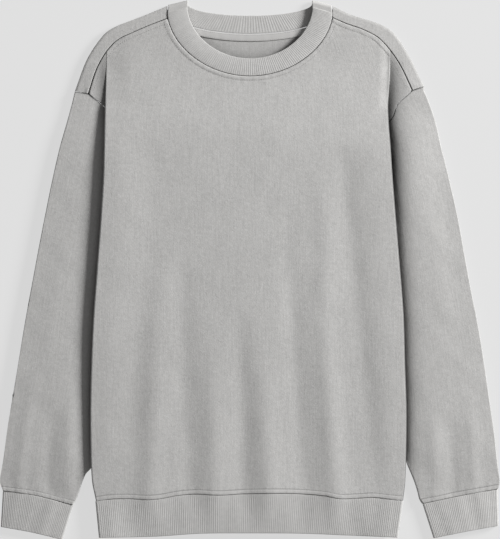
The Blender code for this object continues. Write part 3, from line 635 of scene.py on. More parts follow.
def wall(points, quads, thickness, outer=0.0, inner=0.0, full=1.0):
    """Close a sheet of middle points into a wall.

    Each face lies half a thickness from the sheet along its normal, times `full` (less than 1
    at rounded rims), plus the heights `outer` and `inner`. Quads join the faces along open edges.
    """
    normal = point_normals(points, quads)
    half = thickness / 2 * np.reshape(full, (-1, 1))
    top = points + normal * (half + np.reshape(outer, (-1, 1)))
    bottom = points - normal * (half + np.reshape(inner, (-1, 1)))
    count = len(points)
    edges = np.concatenate([quads[:, [k, (k + 1) % 4]] for k in range(4)])
    forward = edges[:, 0].astype(np.int64) * count + edges[:, 1]
    backward = edges[:, 1].astype(np.int64) * count + edges[:, 0]
    open_edge = edges[~np.isin(forward, backward)]
    a, b = open_edge[:, 0], open_edge[:, 1]
    rim = np.stack([b, a, a + count, b + count], axis=-1)
    return np.concatenate([top, bottom]), np.concatenate([quads, quads[:, ::-1] + count, rim])


def rim_fullness(distance, radius=0.7):
    """Rounded rim: thickness share 0.55 + 0.45 sqrt(1 - (1 - d/r)^2) at a distance d inside it."""
    t = np.clip(np.asarray(distance, float) / radius, 0, 1)
    return 0.55 + 0.45 * np.sqrt(1 - (1 - t) ** 2)


def add_mesh(name, points, faces, material, uv=None, crest=None, painted_shade=None, smooth_angle=60):
    """Make an object from whole arrays, in metres, its faces pointing out, riding on the root.

    The crest attribute says how high a point lies on a rib; the shade attribute says how strongly
    painted shade darkens the cloth there: in and beside folds, along seams and stitch rows, and on
    walls that face the light.
    """
    points = (points + CENTRE_SHIFT) / 1000
    corner = points[faces]
    volume = sum(np.einsum("ij,ij->i", corner[:, 0], np.cross(corner[:, k], corner[:, k + 1])).sum()
                 for k in range(1, faces.shape[1] - 1))
    if volume < 0:
        faces = faces[:, ::-1]
    mesh = bpy.data.meshes.new(name)
    sides = faces.shape[1]
    mesh.vertices.add(len(points))
    mesh.vertices.foreach_set("co", points.ravel())
    mesh.loops.add(faces.size)
    mesh.loops.foreach_set("vertex_index", faces.ravel().astype(np.int32))
    mesh.polygons.add(len(faces))
    mesh.polygons.foreach_set("loop_start", np.arange(0, faces.size, sides, dtype=np.int32))
    mesh.update(calc_edges=True)
    mesh.validate()
    if uv is not None:
        layer = mesh.uv_layers.new(name="cloth")
        layer.data.foreach_set("uv", (uv[faces.ravel()] / 1000).ravel())
    for kind, values in (("crest", crest), ("painted_shade", painted_shade)):
        if values is not None:
            attribute = mesh.attributes.new(kind, "FLOAT", "POINT")
            attribute.data.foreach_set("value", np.asarray(values, np.float32))
    mesh.materials.append(material)
    mesh.shade_smooth()
    mesh.set_sharp_from_angle(angle=np.radians(smooth_angle))
    piece = bpy.data.objects.new(name, mesh)
    bpy.context.scene.collection.objects.link(piece)
    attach(piece, "root")
    return piece


def cloth_uv(grid, closed=False):
    """Cloth coordinates of a grid: length run across each row from its middle, and up the rows."""
    u = run_length(grid, axis=1)
    middle = grid.shape[1] // 2
    u = u - (0 if closed else u[:, middle:middle + 1])
    v = np.broadcast_to(grid[..., 1], u.shape)
    return np.stack([u, v], axis=-1).reshape(-1, 2)


def cloth_piece(name, grid, material, closed=False, thickness=CLOTH, outer=0.0, inner=0.0,
                full=1.0, crest=None, painted_shade=None):
    """Wall a grid of middle points and make it an object; both faces get the same values."""
    size = grid.shape[:2]
    walled, quads = wall(grid.reshape(-1, 3), grid_faces(*size, closed), thickness, outer, inner,
                         full)
    both = [None if values is None else np.tile(np.broadcast_to(values, size).ravel(), 2)
            for values in (crest, painted_shade)]
    return add_mesh(name, walled, quads, material, np.tile(cloth_uv(grid, closed), (2, 1)), *both)


# ---------------------------------------------------------------- relief of the seams

def seam_relief(distance, t, seed, ridge, stitch_at=HEM_STITCH, sunk=0.5):
    """Relief beside a seam: the allowance under the cloth raises it, the stitch row draws it in.

    A plateau out to the stitch row, a narrow trough along it, and soft puckers along the seam.
    """
    plateau = ridge * smooth(stitch_at + 1.6, stitch_at - 0.6, distance)
    trough = -sunk * np.exp(-((distance - stitch_at) / 0.9) ** 2)
    tuck = -0.25 * smooth(1.2, 0, distance)
    pucker = waviness(t, seed, ((9.0, 0.5), (14.3, 0.35), (5.7, 0.3)))
    ripple = 0.13 * pucker * smooth(16, 3, distance)
    return plateau + trough + tuck + ripple


def stitch_shade(distance, stitch_at=HEM_STITCH):
    """Shade in the narrow groove that a stitch row draws: a bell across the row."""
    return 0.55 * np.exp(-((distance - stitch_at) / 0.7) ** 2)


def front_relief(x, y):
    """Outer height of the front, its seams' relief and a faint unevenness, and its stitch shade."""
    neck = line_distance(x, y, neck_line("front seam", NECK_GAP))
    hem = y - hem_line(HEM_SEAM, x)
    height = seam_relief(neck, np.arctan2(y - 337, x) * 95, 3, 0.35, NECK_STITCH, 0.2)
    height = height + seam_relief(hem, x, 5, 0.8)
    shade = np.maximum(0.25 * stitch_shade(neck, NECK_STITCH), stitch_shade(hem))
    for side in (-1, 1):
        shoulder = line_distance(x, y, SEAM_LINE[side] * [side, 1])
        inside = (side * x > 96)
        relief = seam_relief(shoulder, x + y, 7 + side, 0.25, SHOULDER_STITCH, 0.15)
        height = height + inside * relief
        shade = np.maximum(shade, 0.15 * inside * stitch_shade(shoulder, SHOULDER_STITCH))
    soft = waviness(x + 0.2 * y, 11, ((61, 0.5), (37, 0.3))) * waviness(y - 0.3 * x, 12, ((83, 1),))
    return height + 0.12 * soft, shade


# ---------------------------------------------------------------- painted shade beside the body's fold

# Strength of the painted shade beside the body's fold, on the left and on the right, by y.
FOLD_SHADE = np.array([   # y, left, right
    (-300, 0.05, 0.3), (-172, 0.05, 0.35), (39, 0.0, 0.45), (130, 0.0, 0.85), (190, 0.15, 0.9),
    (216, 0.5, 0.95), (236, 0.65, 0.85), (256, 0.65, 0.7), (275, 0.4, 0.42), (292, 0.1, 0.1),
    (330, 0.0, 0.0)])


def shade_beside_fold(side, distance, y):
    """How strong the painted shade is at a place beside the body's fold: fades with the distance
    out.
    """
    out = distance - across(BODY_FOLD, side, y)
    reach, power = (11, 2.5) if side < 0 else (13, 1.6)
    soft = 0.6 * (side > 0) * smooth(232, 262, y)
    fade = np.exp(-(np.maximum(out, 0) / reach) ** power)
    return across(FOLD_SHADE, side, y) * fade * (1 - soft + soft * smooth(-2.5, 4.5, out))


# ---------------------------------------------------------------- panels

def panel_rim(grid, panel):
    """Rounded rims of a panel: its distance from its open edges, run along rows and columns."""
    from_hem, from_left = run_length(grid, axis=0), run_length(grid, axis=1)
    to_top, to_right = from_hem[-1] - from_hem, from_left[:, -1:] - from_left
    nearest = np.minimum(np.minimum(from_left, to_right), from_hem)
    ends = len(SIDE_AT) + STEPS[panel][0]
    if panel == "front":
        blunt = np.full(grid.shape[1], 0.3)             # less rounded along the shoulder seams
        blunt[ends:-ends] = 0
        return rim_fullness(np.minimum(nearest, to_top + blunt))
    shoulder = grid[..., 1] > np.where(grid[..., 0] < 0, armhole_top(-1), armhole_top(1))
    nearest = np.where(shoulder, from_hem, nearest)
    nearest[:, ends:-ends] = np.minimum(nearest, to_top)[:, ends:-ends]
    return rim_fullness(nearest)


def front_panel(material):
    """The front: its grid, walled, with the seams' relief raised in the outer face."""
    grid = panel_grid("front")
    x, y = grid[..., 0], grid[..., 1]
    count = len(SIDE_AT)
    main = slice(count - 1, 1 - count)
    relief, pinch, painted_shade = np.zeros(x.shape), np.zeros(x.shape[1]), np.zeros(x.shape)
    relief[:, main], shade = front_relief(x[:, main], y[:, main])
    pinch[:count] = np.exp(-((SIDE_AT - 0.5) / 0.4) ** 2)
    pinch = FOLD_PINCH * np.maximum(pinch, pinch[::-1])
    # Painted shade: in the stitch rows, and just inside the right fold where it starts below the
    # shoulder.
    inward = (across(BODY_FOLD, 1, y) - x)[:, main]
    onset = (smooth(222, 240, y) * smooth(298, 272, y))[:, main]
    painted_shade[:, main] = np.maximum(shade, 0.4 * smooth(5.5, -1, inward) * onset)
    # Painted shade on each fold's turn and hidden return, beside the fold, and as a dark line along
    # the armhole seam.
    for side, part, end in ((-1, slice(0, count), 0), (1, slice(-count, None), -1)):
        at = SIDE_AT if side < 0 else SIDE_AT[::-1]
        turned = 0.6 * smooth(0.1, 0.4, at) if side < 0 else 0.75 * smooth(-0.3, 0.15, at)
        turned = turned * fold_growth(y[:, part]) ** 0.7
        to_armhole = np.linalg.norm(grid[:, part] - grid[:, [end]], axis=2)
        seam = 0.5 * np.exp(-(to_armhole / 0.8) ** 2) * (y[:, part] > 60)
        beside = shade_beside_fold(side, side * x[:, part], y[:, part])
        painted_shade[:, part] = np.maximum(np.where(at < 3, turned, beside), seam)
    return cloth_piece("front_panel", grid, material, outer=relief,
                       full=panel_rim(grid, "front") * (1 - pinch), painted_shade=painted_shade)


HALF_TURN = np.sin(np.linspace(0, np.pi, 13))     # how much cloth is pinched along a half turn


def back_panel(material):
    """The back: its grid, and the strips that wrap over the shoulders to the forward seams."""
    grid = panel_grid("back")
    points, faces = grid.reshape(-1, 3), grid_faces(*grid.shape[:2])
    full, uv = panel_rim(grid, "back").ravel(), cloth_uv(grid)
    pinch = np.zeros(len(points))
    for side in (-1, 1):
        border, rows = wrap_over_shoulder(grid, side)
        strip = strip_faces(border, len(points), len(rows))
        faces = np.concatenate([faces, strip if side < 0 else strip[:, ::-1]])
        flat, run = rows.reshape(-1, 3), run_length(rows)
        over = np.zeros(len(rows))
        over[:12] = EDGE_PINCH * HALF_TURN[1:]
        pinch = np.concatenate([pinch, np.repeat(over, rows.shape[1])])
        full = np.concatenate([full, rim_fullness(run[-1] - run).ravel()])
        uv = np.concatenate([uv, flat[:, :2]])
        points = np.concatenate([points, flat])
    walled, quads = wall(points, faces, CLOTH, full=full * (1 - pinch))
    x, y = points[:, 0], points[:, 1]
    # Painted shade: on the inside of the back below the front collar's edge, and on the right-hand
    # shoulder turns, which face the light.
    edge = line_distance(x, y, neck_line("front edge"))
    inside = smooth(120, 80, np.abs(x)) * smooth(230, 262, y)
    painted_shade = np.maximum(0.45 * np.exp(-edge / 11) * inside, 0.6 * pinch * (x > 0))
    return add_mesh("back_panel", walled, quads, material, np.tile(uv, (2, 1)),
                    painted_shade=np.tile(painted_shade, 2))


# ---------------------------------------------------------------- sleeves and cuffs

def armhole_line(side):
    """The sleeve's edge at the armhole, as (distance, y), from the shoulder to the underarm."""
    outer, inner = FOLD_LINE[side][0], SEAM_LINE[side][0]
    shoulder = [(outer[0] - 0.7, outer[1] - 0.8), (inner[0] + 0.6, inner[1] - 0.4)]
    y = np.array([227.5, 222.0, 217.0, 211.0, 203.0, 196.0, 186.0, 172.0, 150.0, 105.0, 60.0])
    if side > 0:
        y = np.concatenate([[232.0], y])
    edge = side_fold("front", side, y, np.full(len(y), 4.0))[0]
    underarm = (across(SLEEVE_INSIDE, side, 20.0), 24.0)
    return np.array(shoulder + list(zip(edge + 0.2, y - 0.25)) + [underarm])


def patch(top, bottom, left, right, u, v):
    """Coons patch between four lines, on shares u across and v down."""
    u, v = u[None, :, None], v[:, None, None]
    ruled_down = (1 - v) * top[None] + v * bottom[None]
    ruled_across = (1 - u) * left[:, None] + u * right[:, None]
    corners = ((1 - u) * (1 - v) * top[0] + u * (1 - v) * top[-1]
               + (1 - u) * v * bottom[0] + u * v * bottom[-1])
    return ruled_down + ruled_across - corners


def flat_ring(upper, lower, side, steps=12, widest=0.4):
    """Rings of a flattened tube: upper layer, half turn, lower layer back, half turn."""
    angle = np.linspace(0, np.pi, steps + 1)[1:-1][None, :, None]

    def turn(a, b, outward):
        radius = (a[:, 2] - b[:, 2])[:, None, None] / 2
        middle = ((a + b) / 2)[:, None]
        reach = np.minimum(np.abs(radius), widest)
        return (middle + np.array([side * outward, 0, 0]) * reach * np.sin(angle) ** 0.3
                + np.array([0, 0, 1.0]) * radius * squared(np.cos(angle), 0.3))

    inner = turn(upper[:, -1], lower[:, -1], -1)
    outer = turn(lower[:, 0], upper[:, 0], 1)
    return np.concatenate([upper, inner, lower[:, ::-1], outer], axis=1)


# ---- how far the air in a sleeve lifts its upper layer: y, left, right ----
PUFF = np.array([(-300, 6.2, 6.2), (-172, 6.6, 7.0), (39, 5.6, 7.6), (157, 5.6, 8.8),
                 (235, 4.6, 6.0)])
# ---- sleeve creases: share across from the outer fold, y of both ends, height, width, lean ----
SLEEVE_CREASES = {
    "left": [(0.22, -120, -296, 0.9, 9, 3), (0.52, -180, -296, -0.9, 10, 0),
             (0.72, -150, -300, 0.7, 9, -3), (0.40, 60, -120, 0.45, 13, 4)],
    "right": [(0.25, -150, -292, 0.8, 9, -2), (0.50, -190, -294, -0.8, 9, 2),
              (0.70, -170, -298, 0.8, 10, 3), (0.45, 120, -60, 0.5, 14, 4)]}


def sleeve_rings(side, name):
    """A sleeve: rings from the armhole to the cuff seam, on the levels beside the body."""
    top = armhole_line(side)
    run = run_length(top)
    u = np.unique(np.concatenate([[0.002, 0.006, 0.014], np.linspace(0, 1, 54),
                                  run[1:-1] / run[-1]]))
    u = u if len(u) % 2 else np.delete(u, len(u) // 2)
    near = EDGE_ROWS / SLEEVE_LENGTH
    v = np.concatenate([near, np.linspace(0.02, 0.98, 150), 1 - near[::-1]])
    seam = cuff_line(CUFF_SEAM, name) + [0, HALF_GAP]
    outer_y = top[0, 1] + (seam[0, 1] - top[0, 1]) * v
    inner_y = top[-1, 1] + (seam[-1, 1] - top[-1, 1]) * v
    left = np.stack([across(SLEEVE_OUTLINE, side, outer_y) - 1.2, outer_y], axis=-1)
    left[:, 0] += (top[0, 0] - left[0, 0]) * smooth(0.035, 0, v)
    right = np.stack([across(SLEEVE_INSIDE, side, inner_y) + 0.8, inner_y], axis=-1)
    bottom = along(seam, u)
    bottom[0], bottom[-1], right[0] = left[-1], right[-1], top[-1]
    flat = patch(along(top, u), bottom, left, right, u, v)
    distance, y = flat[..., 0], flat[..., 1]
    lower, upper = layers(side, distance, y)
    fold, outline = across(BODY_FOLD, side, y), across(SLEEVE_OUTLINE, side, y)
    out, puff = distance - fold, across(PUFF, side, y)
    filled = lower + PITCH + 0.2 + puff * rounded_rise(out, 4.0, 14.0)
    if side > 0:
        filled = filled - 0.36 * puff * smooth(20, 78, out) * smooth(-100, 120, y)
    upper = upper + (filled - upper) * smooth(222, 180, y) * smooth(-302, -232, y)
    inside = np.sin(np.pi * u) ** 0.5
    for share, y0, y1, height, width, lean in SLEEVE_CREASES[name]:
        t = (y0 - y) / (y0 - y1)
        from_edge = outline - distance - share * (outline - fold)
        fade = smooth(-0.1, 0.5, t) * smooth(1.08, 0.98, t)
        upper = upper + height * fade * np.exp(-((from_edge + lean * t) / width) ** 2) * inside
    upper, lower = (np.stack([side * distance, y, level], axis=-1) for level in (upper, lower))
    return flat_ring(upper, lower[:, ::2], side), len(u), v


def outer_pinch(columns):
    """Share of thickness lost in a flat ring's outer half turn, which is its last columns."""
    pinch = np.zeros(columns)
    pinch[-11:] = EDGE_PINCH * HALF_TURN[1:-1]
    return pinch


def sleeve(name, side, material):
    """A sleeve, with the cuff seam's relief on its upper layer, and painted shade beside the body's
    fold, along its armhole edge and cuff stitch row, and on the right sleeve's outer turn.
    """
    rings, upper, v = sleeve_rings(side, name)
    x, y = rings[..., 0], rings[..., 1]
    to_cuff = line_distance(x, y, cuff_line(CUFF_SEAM, name, side))
    shown = np.arange(x.shape[1]) < upper
    relief = seam_relief(to_cuff, x, 21 + side, 0.8)
    relief = (relief + 0.1 * waviness(y + x, 31 + side, ((71, 0.6), (43, 0.4)))) * shown
    pinch = outer_pinch(x.shape[1])
    full = rim_fullness(SLEEVE_LENGTH * (1 - v))[:, None] * (1 - pinch)
    # Painted shade: a dark line along the armhole edge, shade beside the body's fold and in the
    # cuff stitch row, and on the right sleeve's outer turn, which faces the light.
    armhole = 0.9 * np.exp(-(SLEEVE_LENGTH * v[:, None] / 1.1) ** 2)
    shade = np.maximum(shade_beside_fold(side, side * x, y), stitch_shade(to_cuff))
    painted_shade = np.maximum(np.maximum(shade, armhole) * shown, 0.6 * pinch * (side > 0))
    return cloth_piece("sleeve_cloth_" + name, rings, material, True, full=full, painted_shade=painted_shade,
                       **{"inner" if side < 0 else "outer": relief})


def rib_profile(phase):
    """Height 0 to 1 over ribs: each rib is a rounded back between narrow grooves."""
    return 1 - np.abs(np.cos(np.pi * phase)) ** 2.6


def rib_crests(phase, ribs, rng):
    """Heights at some phases of a row of ribs, each rib a little stronger or weaker."""
    strength = 0.85 + 0.3 * rng.random(ribs + 1)
    return rib_profile(phase) * strength[phase.astype(int)]


def rib_fade(v, start=0.05, end=0.97):
    """Share of their height that ribs have down a band: they flatten out at its edges."""
    return (smooth(0, start, v) * smooth(1, end, v))[:, None]


def band_rows(length, count=9):
    """Row positions of a band: close together at both ends, even between."""
    near = np.array([0, 0.12, 0.35, 0.7, 1.1, 1.8]) / length
    return np.concatenate([near, np.linspace(0, 1, count)[1:-1], 1 - near[::-1]])


def band_fullness(v, height, pinch):
    """Thickness shares of a band: rounded at both its edges, less where it is pinched."""
    run = v * height
    return rim_fullness(np.minimum(run, run[-1] - run))[:, None] * (1 - pinch)


def cuff(name, side, material):
    """A ribbed cuff: a flat ring from the cuff seam to its free edge, ribbed on top."""
    ribs = RIB_STEPS * CUFF_RIBS
    u = np.linspace(0, 1, ribs + 1)
    v = band_rows(CUFF_HEIGHT)
    top = along(cuff_line(CUFF_SEAM, name), u) - [0, HALF_GAP]
    bottom = along(cuff_line(CUFF_BOTTOM, name), u)
    flat = (1 - v[:, None, None]) * top + v[:, None, None] * bottom
    flat = flat - np.array([1.1, 0]) * (1 - 2 * u[None, :, None])
    soft = waviness(u * 100 + 9 * v[:, None], 41 + side, ((47, 0.7), (29, 0.5)))
    crown = 1.2 * np.sin(np.pi * u) ** 0.8 + 0.3 * soft * smooth(0, 0.3, u) * smooth(1, 0.7, u)
    x, y = side * flat[..., 0], flat[..., 1]
    upper = np.stack([x, y, FLOOR_LEVEL + 2 * CUFF_TURN + crown], axis=-1)
    lower = np.stack([x, y, np.full_like(x, FLOOR_LEVEL)], axis=-1)[:, ::RIB_STEPS]
    rings = flat_ring(upper, lower, side)
    columns = rings.shape[1]
    crest = np.zeros(columns)
    crest[:ribs + 1] = rib_crests(u * CUFF_RIBS, CUFF_RIBS, np.random.default_rng(51 + side))
    return cloth_piece("cuff_cloth_" + name, rings, material, True,
                       full=band_fullness(v, CUFF_HEIGHT, outer_pinch(columns)),
                       crest=np.where(np.arange(columns) <= ribs, crest, 0.6),
                       **{"inner" if side < 0 else "outer": RIB_HEIGHT * crest * rib_fade(v)})


# ---------------------------------------------------------------- waistband, collar, tape

def waist_section(y):
    """Closed line of the waistband at y, as x and level."""
    back_turn_radius = 1.5
    back_return = FLOOR_LEVEL + 2 * back_turn_radius
    front_return = return_level(y)
    inner_turn = (front_return - back_return) / 2
    arc = np.linspace(0, np.pi, 13)
    bow, drop = np.sin(arc) ** 0.5, 1 + squared(np.cos(arc), 0.5)
    flat = np.linspace(0, 1, 8)[1:-1]
    parts = []
    for side in (-1, 1):
        fold = across(BODY_FOLD, side, y)
        inside = fold - across(SIDE_TUCK, side, y) + inner_turn
        front = fold - FOLD_TURN
        back = fold - BACK_SETBACK - back_turn_radius
        x = np.concatenate([front + FOLD_TURN * bow, front + (inside - front) * flat,
                            inside - inner_turn * np.sin(arc), inside + (back - inside) * flat,
                            back + back_turn_radius * np.sin(arc)])
        z = np.concatenate([front_return + FOLD_TURN * drop, np.full(6, front_return),
                            back_return + inner_turn * (1 + np.cos(arc)), np.full(6, back_return),
                            FLOOR_LEVEL + back_turn_radius * (1 + np.cos(arc))])
        parts.append((side * x, z))
    (left_x, left_z), (right_x, right_z) = parts
    main_x = np.linspace(left_x[0], right_x[0], RIB_STEPS * HEM_RIBS + 1)[1:-1]
    main_y = np.full(len(main_x), y)
    edges = [(side, return_level(main_y) + 2 * FOLD_TURN) for side in (-1, 1)]
    main_z = front_level(main_x, main_y, edges)
    back_x = np.linspace(right_x[-1], left_x[-1], 121)[1:-1]
    x = np.concatenate([main_x, right_x, back_x, left_x[::-1]])
    z = np.concatenate([main_z, right_z, np.full(len(back_x), FLOOR_LEVEL), left_z[::-1]])
    return x, z


def waistband(material):
    """The waistband's rings, from the hem seam to its free edge, ribbed on top."""
    v = band_rows(WAIST_HEIGHT, 12)
    ends = []
    for line, drop, y in ((HEM_SEAM, HALF_GAP, -299.0), (HEM_BOTTOM, 0.0, -351.0)):
        x, z = waist_section(y)
        ends.append(np.stack([x, hem_line(line, x) - drop, z], axis=-1))
    rings = ends[0] + (ends[1] - ends[0]) * v[:, None, None]
    columns = rings.shape[1]
    ribs = RIB_STEPS * HEM_RIBS - 1
    phase = np.arange(1, ribs + 1) / RIB_STEPS
    crest, pinch = np.zeros(columns), np.zeros(columns)
    crest[:ribs] = rib_crests(phase, HEM_RIBS, np.random.default_rng(61))
    pinch[ribs:ribs + 13] = pinch[-13:] = EDGE_PINCH * HALF_TURN
    soft = 0.3 * waviness(rings[..., 0], 62, ((58, 0.5), (33, 0.4))) * np.sin(np.pi * v)[:, None]
    from_side = np.minimum(np.arange(ribs), ribs - np.arange(ribs))
    rings[:, :ribs, 2] += soft[:, :ribs] * smooth(0, 60, from_side)
    return cloth_piece("waistband_cloth", rings, material, True,
                       inner=RIB_HEIGHT * crest * rib_fade(v),
                       full=band_fullness(v, WAIST_HEIGHT, pinch),
                       crest=np.where(np.arange(columns) < ribs, crest, 0.6))


def collar_line(edge, levels):
    """Closed line of one edge of the collar: front half, left fold, back half, right fold."""
    top, low = levels
    radius = (top - low) / 2
    front = neck_curve("front " + edge, np.linspace(0, np.pi, RIB_STEPS * NECK_RIBS[0] + 1))
    back = neck_curve("back " + edge, np.linspace(np.pi, 0, RIB_STEPS * NECK_RIBS[1] + 1))
    arc = np.linspace(0, np.pi, 15)[1:-1]
    lines = [np.column_stack([front, np.full(len(front), top)])]
    for end, start in ((front[-1], back[0]), (front[0], back[-1])):
        rise = np.linspace(0, 1, 8)[1:-1, None]
        up = end + (start - end) * rise
        up = np.vstack([np.column_stack([up, np.full(6, top)]), [[*start, top]]])
        over = np.column_stack([np.full(13, start[0]), start[1] + radius * np.sin(arc),
                                (top + low) / 2 + radius * np.cos(arc)])
        lines.append(np.vstack([up, over]))
    lines.insert(2, np.column_stack([back, np.full(len(back), low)]))
    lines[3] = lines[3][::-1]
    return np.vstack(lines), [len(line) for line in lines]


def collar(material):
    """The collar's rings, ribbed outside on the front half and inside on the back half."""
    seam, counts = collar_line("seam", (NECK_LEVEL, FLOOR_LEVEL))
    edge, _ = collar_line("edge", (COLLAR_LEVEL, FLOOR_LEVEL))
    v = band_rows(COLLAR_HEIGHT, 7)
    rings = seam + (edge - seam) * v[:, None, None]
    rings[:, :counts[0], 2] += 0.5 * np.sin(np.pi * v)[:, None]
    rng = np.random.default_rng(71)
    crests = np.zeros((2, rings.shape[1]))
    for half, first in ((0, 0), (1, counts[0] + counts[1])):
        phase = np.arange(counts[2 * half]) / RIB_STEPS
        crests[half, first:first + len(phase)] = rib_crests(phase, NECK_RIBS[half], rng)
    fade = RIB_HEIGHT * rib_fade(v, 0.07, 0.93)
    crest = crests.sum(axis=0)
    return cloth_piece("collar_cloth", rings, material, True,
                       outer=crests[1] * fade, inner=crests[0] * fade,
                       full=band_fullness(v, COLLAR_HEIGHT, np.zeros(len(crest))),
                       crest=np.where(crest > 0, crest, 0.5))


def neck_tape(material):
    """Tape inside the back neck seam, from shoulder to shoulder, slightly crowned."""
    line = neck_curve("back seam", np.linspace(2.75, np.pi - 2.75, 121))
    level = FLOOR_LEVEL + CLOTH / 2 + SEAM_GAP + TAPE / 2
    down = np.array([1.0, 1.15, 1.5, 2.2, 3.5, 5.6, 7.7, 9.0, 9.7, 10.05, 10.2])[:, None]
    x = np.broadcast_to(line[:, 0], (len(down), len(line)))
    level = level + 0.25 * np.sin(np.pi * (down - 1) / 9.2)
    level = level + 0.06 * waviness(x, 81, ((11, 0.5), (17, 0.5)))
    full = rim_fullness(np.minimum(down - 1, 10.2 - down) * np.ones(len(line)), TAPE / 2)
    return cloth_piece("neck_tape_cloth", np.stack([x, line[:, 1] - down, level], axis=-1),
                       material, thickness=TAPE, full=full)


# ---------------------------------------------------------------- stitches

def surface_of(piece):
    """A search tree of a piece's faces, in metres, to find the cloth under a stitch."""
    mesh = piece.data
    points = np.empty(len(mesh.vertices) * 3)
    mesh.vertices.foreach_get("co", points)
    corners = np.empty(len(mesh.loops), np.int32)
    mesh.loops.foreach_get("vertex_index", corners)
    return BVHTree.FromPolygons(points.reshape(-1, 3).tolist(), corners.reshape(-1, 4).tolist())


def stitch_path(tree, line, spacing):
    """Points on the cloth, in metres, at even steps along a line of (x, y) in millimetres."""
    length = run_length(line)[-1]
    flat = along(line, np.linspace(0, 1, max(int(length / spacing), 2) + 1))
    flat = ((flat + CENTRE_SHIFT[:2]) / 1000).tolist()
    hits = [tree.ray_cast((x, y, 0.05), (0, 0, -1.0))[0] for x, y in flat]
    return np.array([[x, y, hit[2]] for (x, y), hit in zip(flat, hits) if hit is not None])


def stitches(paths, thick):
    """Points and faces of short rounded threads, one lying on each step of each path.

    A thread is a tube along its step whose radius follows the root of a half sine, so both its
    ends dip into the cloth.
    """
    share, sink, sides = 0.78, 0.1, 6       # how much of its step a thread covers, depth, corners
    starts = np.concatenate([path[:-1] for path in paths]) * 1000
    step = np.concatenate([path[1:] for path in paths]) * 1000 - starts
    length = np.linalg.norm(step, axis=1)
    good = (length > 0.5) & (length < 6)
    starts, step = starts[good], step[good]
    ahead = step / np.linalg.norm(step, axis=1)[:, None]
    beside = np.cross([0, 0, 1.0], ahead)
    beside /= np.linalg.norm(beside, axis=1)[:, None]
    up = np.cross(ahead, beside)
    t = np.array([0.0, 0.12, 0.5, 0.88, 1.0])
    radius = (thick / 2 * np.maximum(np.sin(np.pi * t) ** 0.5, 0.15))[:, None]
    rise = np.array([-0.35, 0.0, 0.22, 0.0, -0.35]) * thick - sink
    turn = np.linspace(0, 2 * np.pi, sides + 1)[:-1]
    middle = starts[:, None] + step[:, None] * (0.5 + (t - 0.5) * share)[None, :, None]
    middle = middle + up[:, None] * rise[None, :, None]
    points = middle[:, :, None] + beside[:, None, None] * (radius * np.cos(turn))[None, ..., None]
    points = points + up[:, None, None] * (radius * np.sin(turn))[None, ..., None]
    index = np.arange(len(t) * sides).reshape(len(t), sides)
    caps = []
    for ring in (index[0], index[-1][::-1]):
        caps += [[ring[0], ring[5], ring[4], ring[1]], [ring[1], ring[4], ring[3], ring[2]]]
    one = np.concatenate([grid_faces(len(t), sides, True), np.array(caps)])
    faces = (one[None] + (np.arange(len(starts)) * index.size)[:, None, None]).reshape(-1, 4)
    return points.reshape(-1, 3) - CENTRE_SHIFT, faces


def add_stitches(name, paths, material, thick=0.55):
    """One object of all the threads along some paths."""
    points, faces = stitches([path for path in paths if len(path) > 1], thick)
    return add_mesh(name, points, faces, material, smooth_angle=80)


# ---------------------------------------------------------------- materials

class Number:
    """A socket that carries a number: arithmetic on it adds Math nodes."""

    def __init__(self, shader, socket):
        self.shader, self.socket = shader, socket

    def math(self, operation, a, b):
        node = self.shader.node("Math", {"operation": operation}, {0: a, 1: b})
        return Number(self.shader, node.outputs[0])

    def __add__(self, other):
        return self.math("ADD", self, other)

    def __radd__(self, other):
        return self.math("ADD", other, self)

    def __sub__(self, other):
        return self.math("SUBTRACT", self, other)

    def __mul__(self, other):
        return self.math("MULTIPLY", self, other)


class Shader:
    """A material whose nodes are all added by one method."""

    def __init__(self, name):
        self.material = bpy.data.materials.new(name)
        self.material.use_nodes = True
        self.tree = self.material.node_tree
        self.tree.nodes.clear()

    def node(self, kind, settings=None, sockets=None):
        """Add a node: its settings first, then a value or a link for each socket."""
        node = self.tree.nodes.new("ShaderNode" + kind)
        for key, value in (settings or {}).items():
            setattr(node, key, value)
        for key, value in (sockets or {}).items():
            if isinstance(value, Number):
                value = value.socket
            if isinstance(value, bpy.types.NodeSocket):
                self.tree.links.new(value, node.inputs[key])
            else:
                node.inputs[key].default_value = value
        return node

    def noise(self, vector, scale, stretch=(1, 1, 1), detail=2.0, rough=0.5):
        """Noise about 0.5 on a vector that is stretched first."""
        mapped = self.node("Mapping", None, {"Vector": vector, "Scale": stretch})
        made = self.node("TexNoise", None, {"Vector": mapped.outputs[0], "Scale": scale,
                                            "Detail": detail, "Roughness": rough})
        return Number(self, made.outputs[0])

    def finish(self, colour, height, distance, strength, roughness, sheen):
        """Principled cloth: colour, a bump of its height and a constant sheen."""
        bump = self.node("Bump", None, {"Height": height, "Distance": distance,
                                        "Strength": strength})
        shader = self.node("BsdfPrincipled", None, {
            "Base Color": colour, "Roughness": roughness, "Normal": bump.outputs[0],
            "Specular IOR Level": 0.12, "Sheen Weight": sheen, "Sheen Roughness": 0.6})
        self.node("OutputMaterial", None, {"Surface": shader.outputs[0]})
        return self.material


def mixed(shader, factor, low, high):
    """A colour between two colours by a number."""
    return shader.node("Mix", {"data_type": "RGBA"}, {0: factor, 6: low, 7: high}).outputs[2]


def grey(level, warm=0.012):
    """A slightly warm grey."""
    return (level * (1 + warm), level, level * (1 - warm * 1.6), 1)


